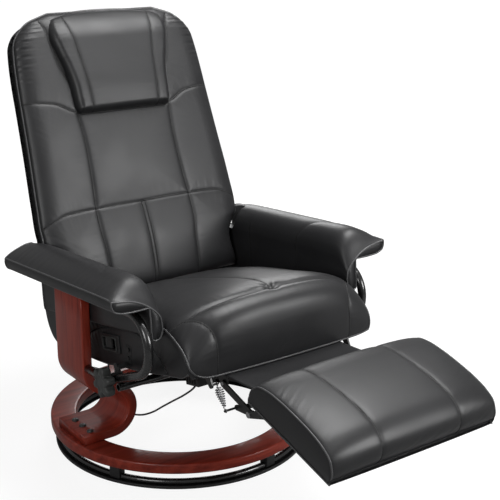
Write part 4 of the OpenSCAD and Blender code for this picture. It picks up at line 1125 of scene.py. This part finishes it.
sewn("back_cushion", back_seams + back_channel, back_spot, BACK, "back")
ladder = bmesh.new()
for k in range(34):
    bar = np.array([-5.0, 5.0]), np.full(2, 16 + 6.0 * k)
    strand(ladder, [Vector(p) for p in zip(*back_spot(*bar))], 0.7)
piece("channel_stitches", ladder, seam_shadow, "back", matrix=BACK)
back_edge = (edge_run(back_where, -1, -1, np.linspace(-0.62, 1, 120))
    + edge_run(back_where, np.linspace(-1, 1, 80), -1, 1)[1:]
    + edge_run(back_where, 1, -1, np.linspace(1, -0.62, 120))[1:])
piped("back_piping", back_edge, BACK, "back", 2.1)

# ---- head pillow ----
# A fibre filled pillow sewn on at the top, narrow at its lower end, with a seam
# down each side of its middle panel.
pillow_low, pillow_tall = 457, 265
pillow_half = ([456, 466, 490, 526, 572, 615, 656, 690, 722], [126, 132, 136, 138, 145, 156, 166, 168, 160])
pillow_seams = both_hands([[(93, 458), (96, 500), (103, 583), (114, 655), (122, 706)]])


def pillow_where(a, b, c):
    z = pillow_low + (c + 1) / 2 * pillow_tall
    half = flowing(z, *pillow_half)
    x = a * half
    edge = np.maximum(np.minimum(half - np.abs(x),
        np.minimum((z - pillow_low) * 1.1, pillow_low + pillow_tall - z)), 0)
    side = np.maximum(half - np.abs(x), 0)
    # its top edge falls away to both sides
    z = z - 24 * (np.abs(x) / 182) ** 2.6 * unit((z - 560) / 160)
    gap, along = seam_gap(x, z, pillow_seams)
    proud = 41 + 23 * shoulder(edge, 19) + 4 * np.exp(-((z - 520) / 60) ** 2) * (1 - np.exp(-edge / 14))
    proud -= 38 * unit((z - 636) / 84) ** 2
    proud += (stuffed(gap, 2, 3.5) + stuffed(gap, 1, 26) - 2) * (1 - np.exp(-edge / 14))
    proud += gathers(side, z, 0.9, 13, 9, 0.4) * np.clip((640 - z) / 60, 0.2, 1)
    proud -= 14 * unit((z - 600) / 100) * np.exp(-side / 16)
    proud += gathers(gap, along, 0.08, 17, 12)
    face = (1 - b) / 2
    y = -proud * face + (-14 + 6 * unit((z - 640) / 76)) * (1 - face)
    return x, y, z, line_mask(gap, 1.5) * (b < -0.5)


def pillow_spot(u, v):
    c = (v - pillow_low) / pillow_tall * 2 - 1
    for _ in range(4):
        half = flowing(pillow_low + (c + 1) / 2 * pillow_tall, *pillow_half)
        x, y, z = pillow_where(u / half, np.full(len(u), -1.0), c)[:3]
        c = c + (v - z) / 132
    return x, y, z


upholster("head_pillow_cover", slab(130, 3, 120), pillow_where, "back", ["head_pillow"], BACK)
sewn("head_pillow", pillow_seams, pillow_spot, BACK, "back")

# ---- arm pads ----
# Foam over the boards: a soft crest, a wing that tapers outwards to a doubly
# piped edge, and an inner flap that hangs beside the seat. The ends are closed
# by piped panels.
ARM = place_from_mm((0, -322, 484), -4.5)
arm_over = [(275, -73), (264, -70), (258, -56), (256, -34), (256, -10), (256, 14), (260, 34), (269, 50),
    (283, 62), (301, 67.5), (319, 66), (340, 57), (358, 46), (372, 34)]
arm_nose = [(275, -73), (264, -70), (258, -60), (256, -48), (257, -36), (259, -26), (264, -17), (271, -9),
    (280, -1), (294, 9), (311, 18), (333, 25), (354, 28), (372, 31)]
arm_under = [(372, 34), (373, 23), (368, 10), (356, 4), (332, 1), (300, 0.6), (285, 0.2), (283.5, -14),
    (283, -36), (283, -58), (281, -70), (275, -73)]
over_run, under_run = path_length(arm_over), path_length(arm_under)
arm_front, arm_rear = -6, 506
arm_seams = [[(40, 380), (80, 379), (over_run[6], 379), (over_run[4], 379), (0, 379)],
    [(0, 190), (over_run[4], 190), (over_run[6], 184), (over_run[8], 160), (over_run[10], 118)]]


def arm_where(i, j, sign):
    """i runs round the section, over the top then back beneath; j runs from the front to the rear."""
    y = arm_front + (arm_rear - arm_front) * j
    over = i <= 0.6
    s1, s2 = unit(i / 0.6) * over_run[-1], unit((i - 0.6) / 0.4) * under_run[-1]
    (x1, z1), (x2, z2) = on_path(s1, over_run, arm_over), on_path(s2, under_run, arm_under)
    x, z = np.where(over, x1, x2), np.where(over, z1, z2)
    rear = np.exp(-((arm_rear - y) / 34) ** 1.3)
    # the crest rolls down to the nose at the front
    nose = np.where(over, np.exp(-((y - arm_front) / 19) ** 1.3), 0)
    x1, z1 = on_path(s1, over_run, arm_nose)
    x, z = x + nose * (x1 - x), z + nose * (z1 - z)
    gap, along = seam_gap(s1, y, arm_seams)
    gap = np.where(over, gap, 99)
    tip = over_run[-1] - s1
    # the crest drops at both ends, down to the level of the wing's edge
    crest = unit((z - 36) / 28) + 0.25 * unit((z + 5) / 45) * (x < 300)
    rise = np.where(over, np.minimum(0, stuffed(gap, 2.2, 9) - 2.2) - 8 * crest * rear
        + gathers(np.maximum(y - arm_front, 0), s1, 0.5, 14, 12, 0.9)
        + gathers(np.maximum(tip, 0), y, 0.35, 31, 20, 0.2), 0)
    top = unit((z - 2) / 30)
    # the inner panel hangs lower towards the rear
    z = z - np.interp(y, [60, 200, arm_rear], [0, 14, 42]) * unit((-28 - z) / 42)
    # the inner crest steps down at the rear, under the back's wing
    step = unit((y - 446) / 14)
    step = step * step * (3 - 2 * step) * (x < 292)
    z = z + rise * top
    z = z - np.maximum(z - 9, 0) * step
    x = x + (1 - top) * rise * -0.35 * (x < 275)
    return x * sign, y, z, line_mask(gap, 1.3) * over


def arm_ring(share, along, sign):
    """Points of one line on the arm pad."""
    return list(zip(*arm_where(np.full(len(along), share), np.asarray(along), sign)[:3]))


for side, sign in SIDES:
    bm = bmesh.new()
    bmesh.ops.create_grid(bm, x_segments=150, y_segments=150, size=1)
    moulded(bm, lambda a, b, c, s=sign: arm_where((a + 1) / 2, (b + 1) / 2, s))
    bmesh.ops.remove_doubles(bm, verts=bm.verts, dist=1e-3)
    bmesh.ops.holes_fill(bm, edges=bm.edges, sides=0)
    bmesh.ops.triangulate(bm, faces=[f for f in bm.faces if len(f.verts) > 4])
    arm = piece("arm_pad_cover_" + side, bm, leather, "turntable", ["arm_pad_" + side], ARM)
    lengthwise = np.linspace(0, 1, 90)
    piped("arm_upper_piping_" + side, arm_ring(0.6, lengthwise, sign), ARM, "turntable", 1.9)
    piped("arm_lower_piping_" + side, arm_ring(0.6 + 0.4 * under_run[2] / under_run[-1], lengthwise, sign),
        ARM, "turntable", 1.6)
    for end, j in (("front", 0.0), ("rear", 1.0)):
        share = np.linspace(0, 1, 110, endpoint=False)
        ring = list(zip(*arm_where(share, np.full(110, j), sign)[:3]))
        piped("arm_%s_piping_%s" % (end, side), ring, ARM, "turntable", 1.9, cyclic=True)
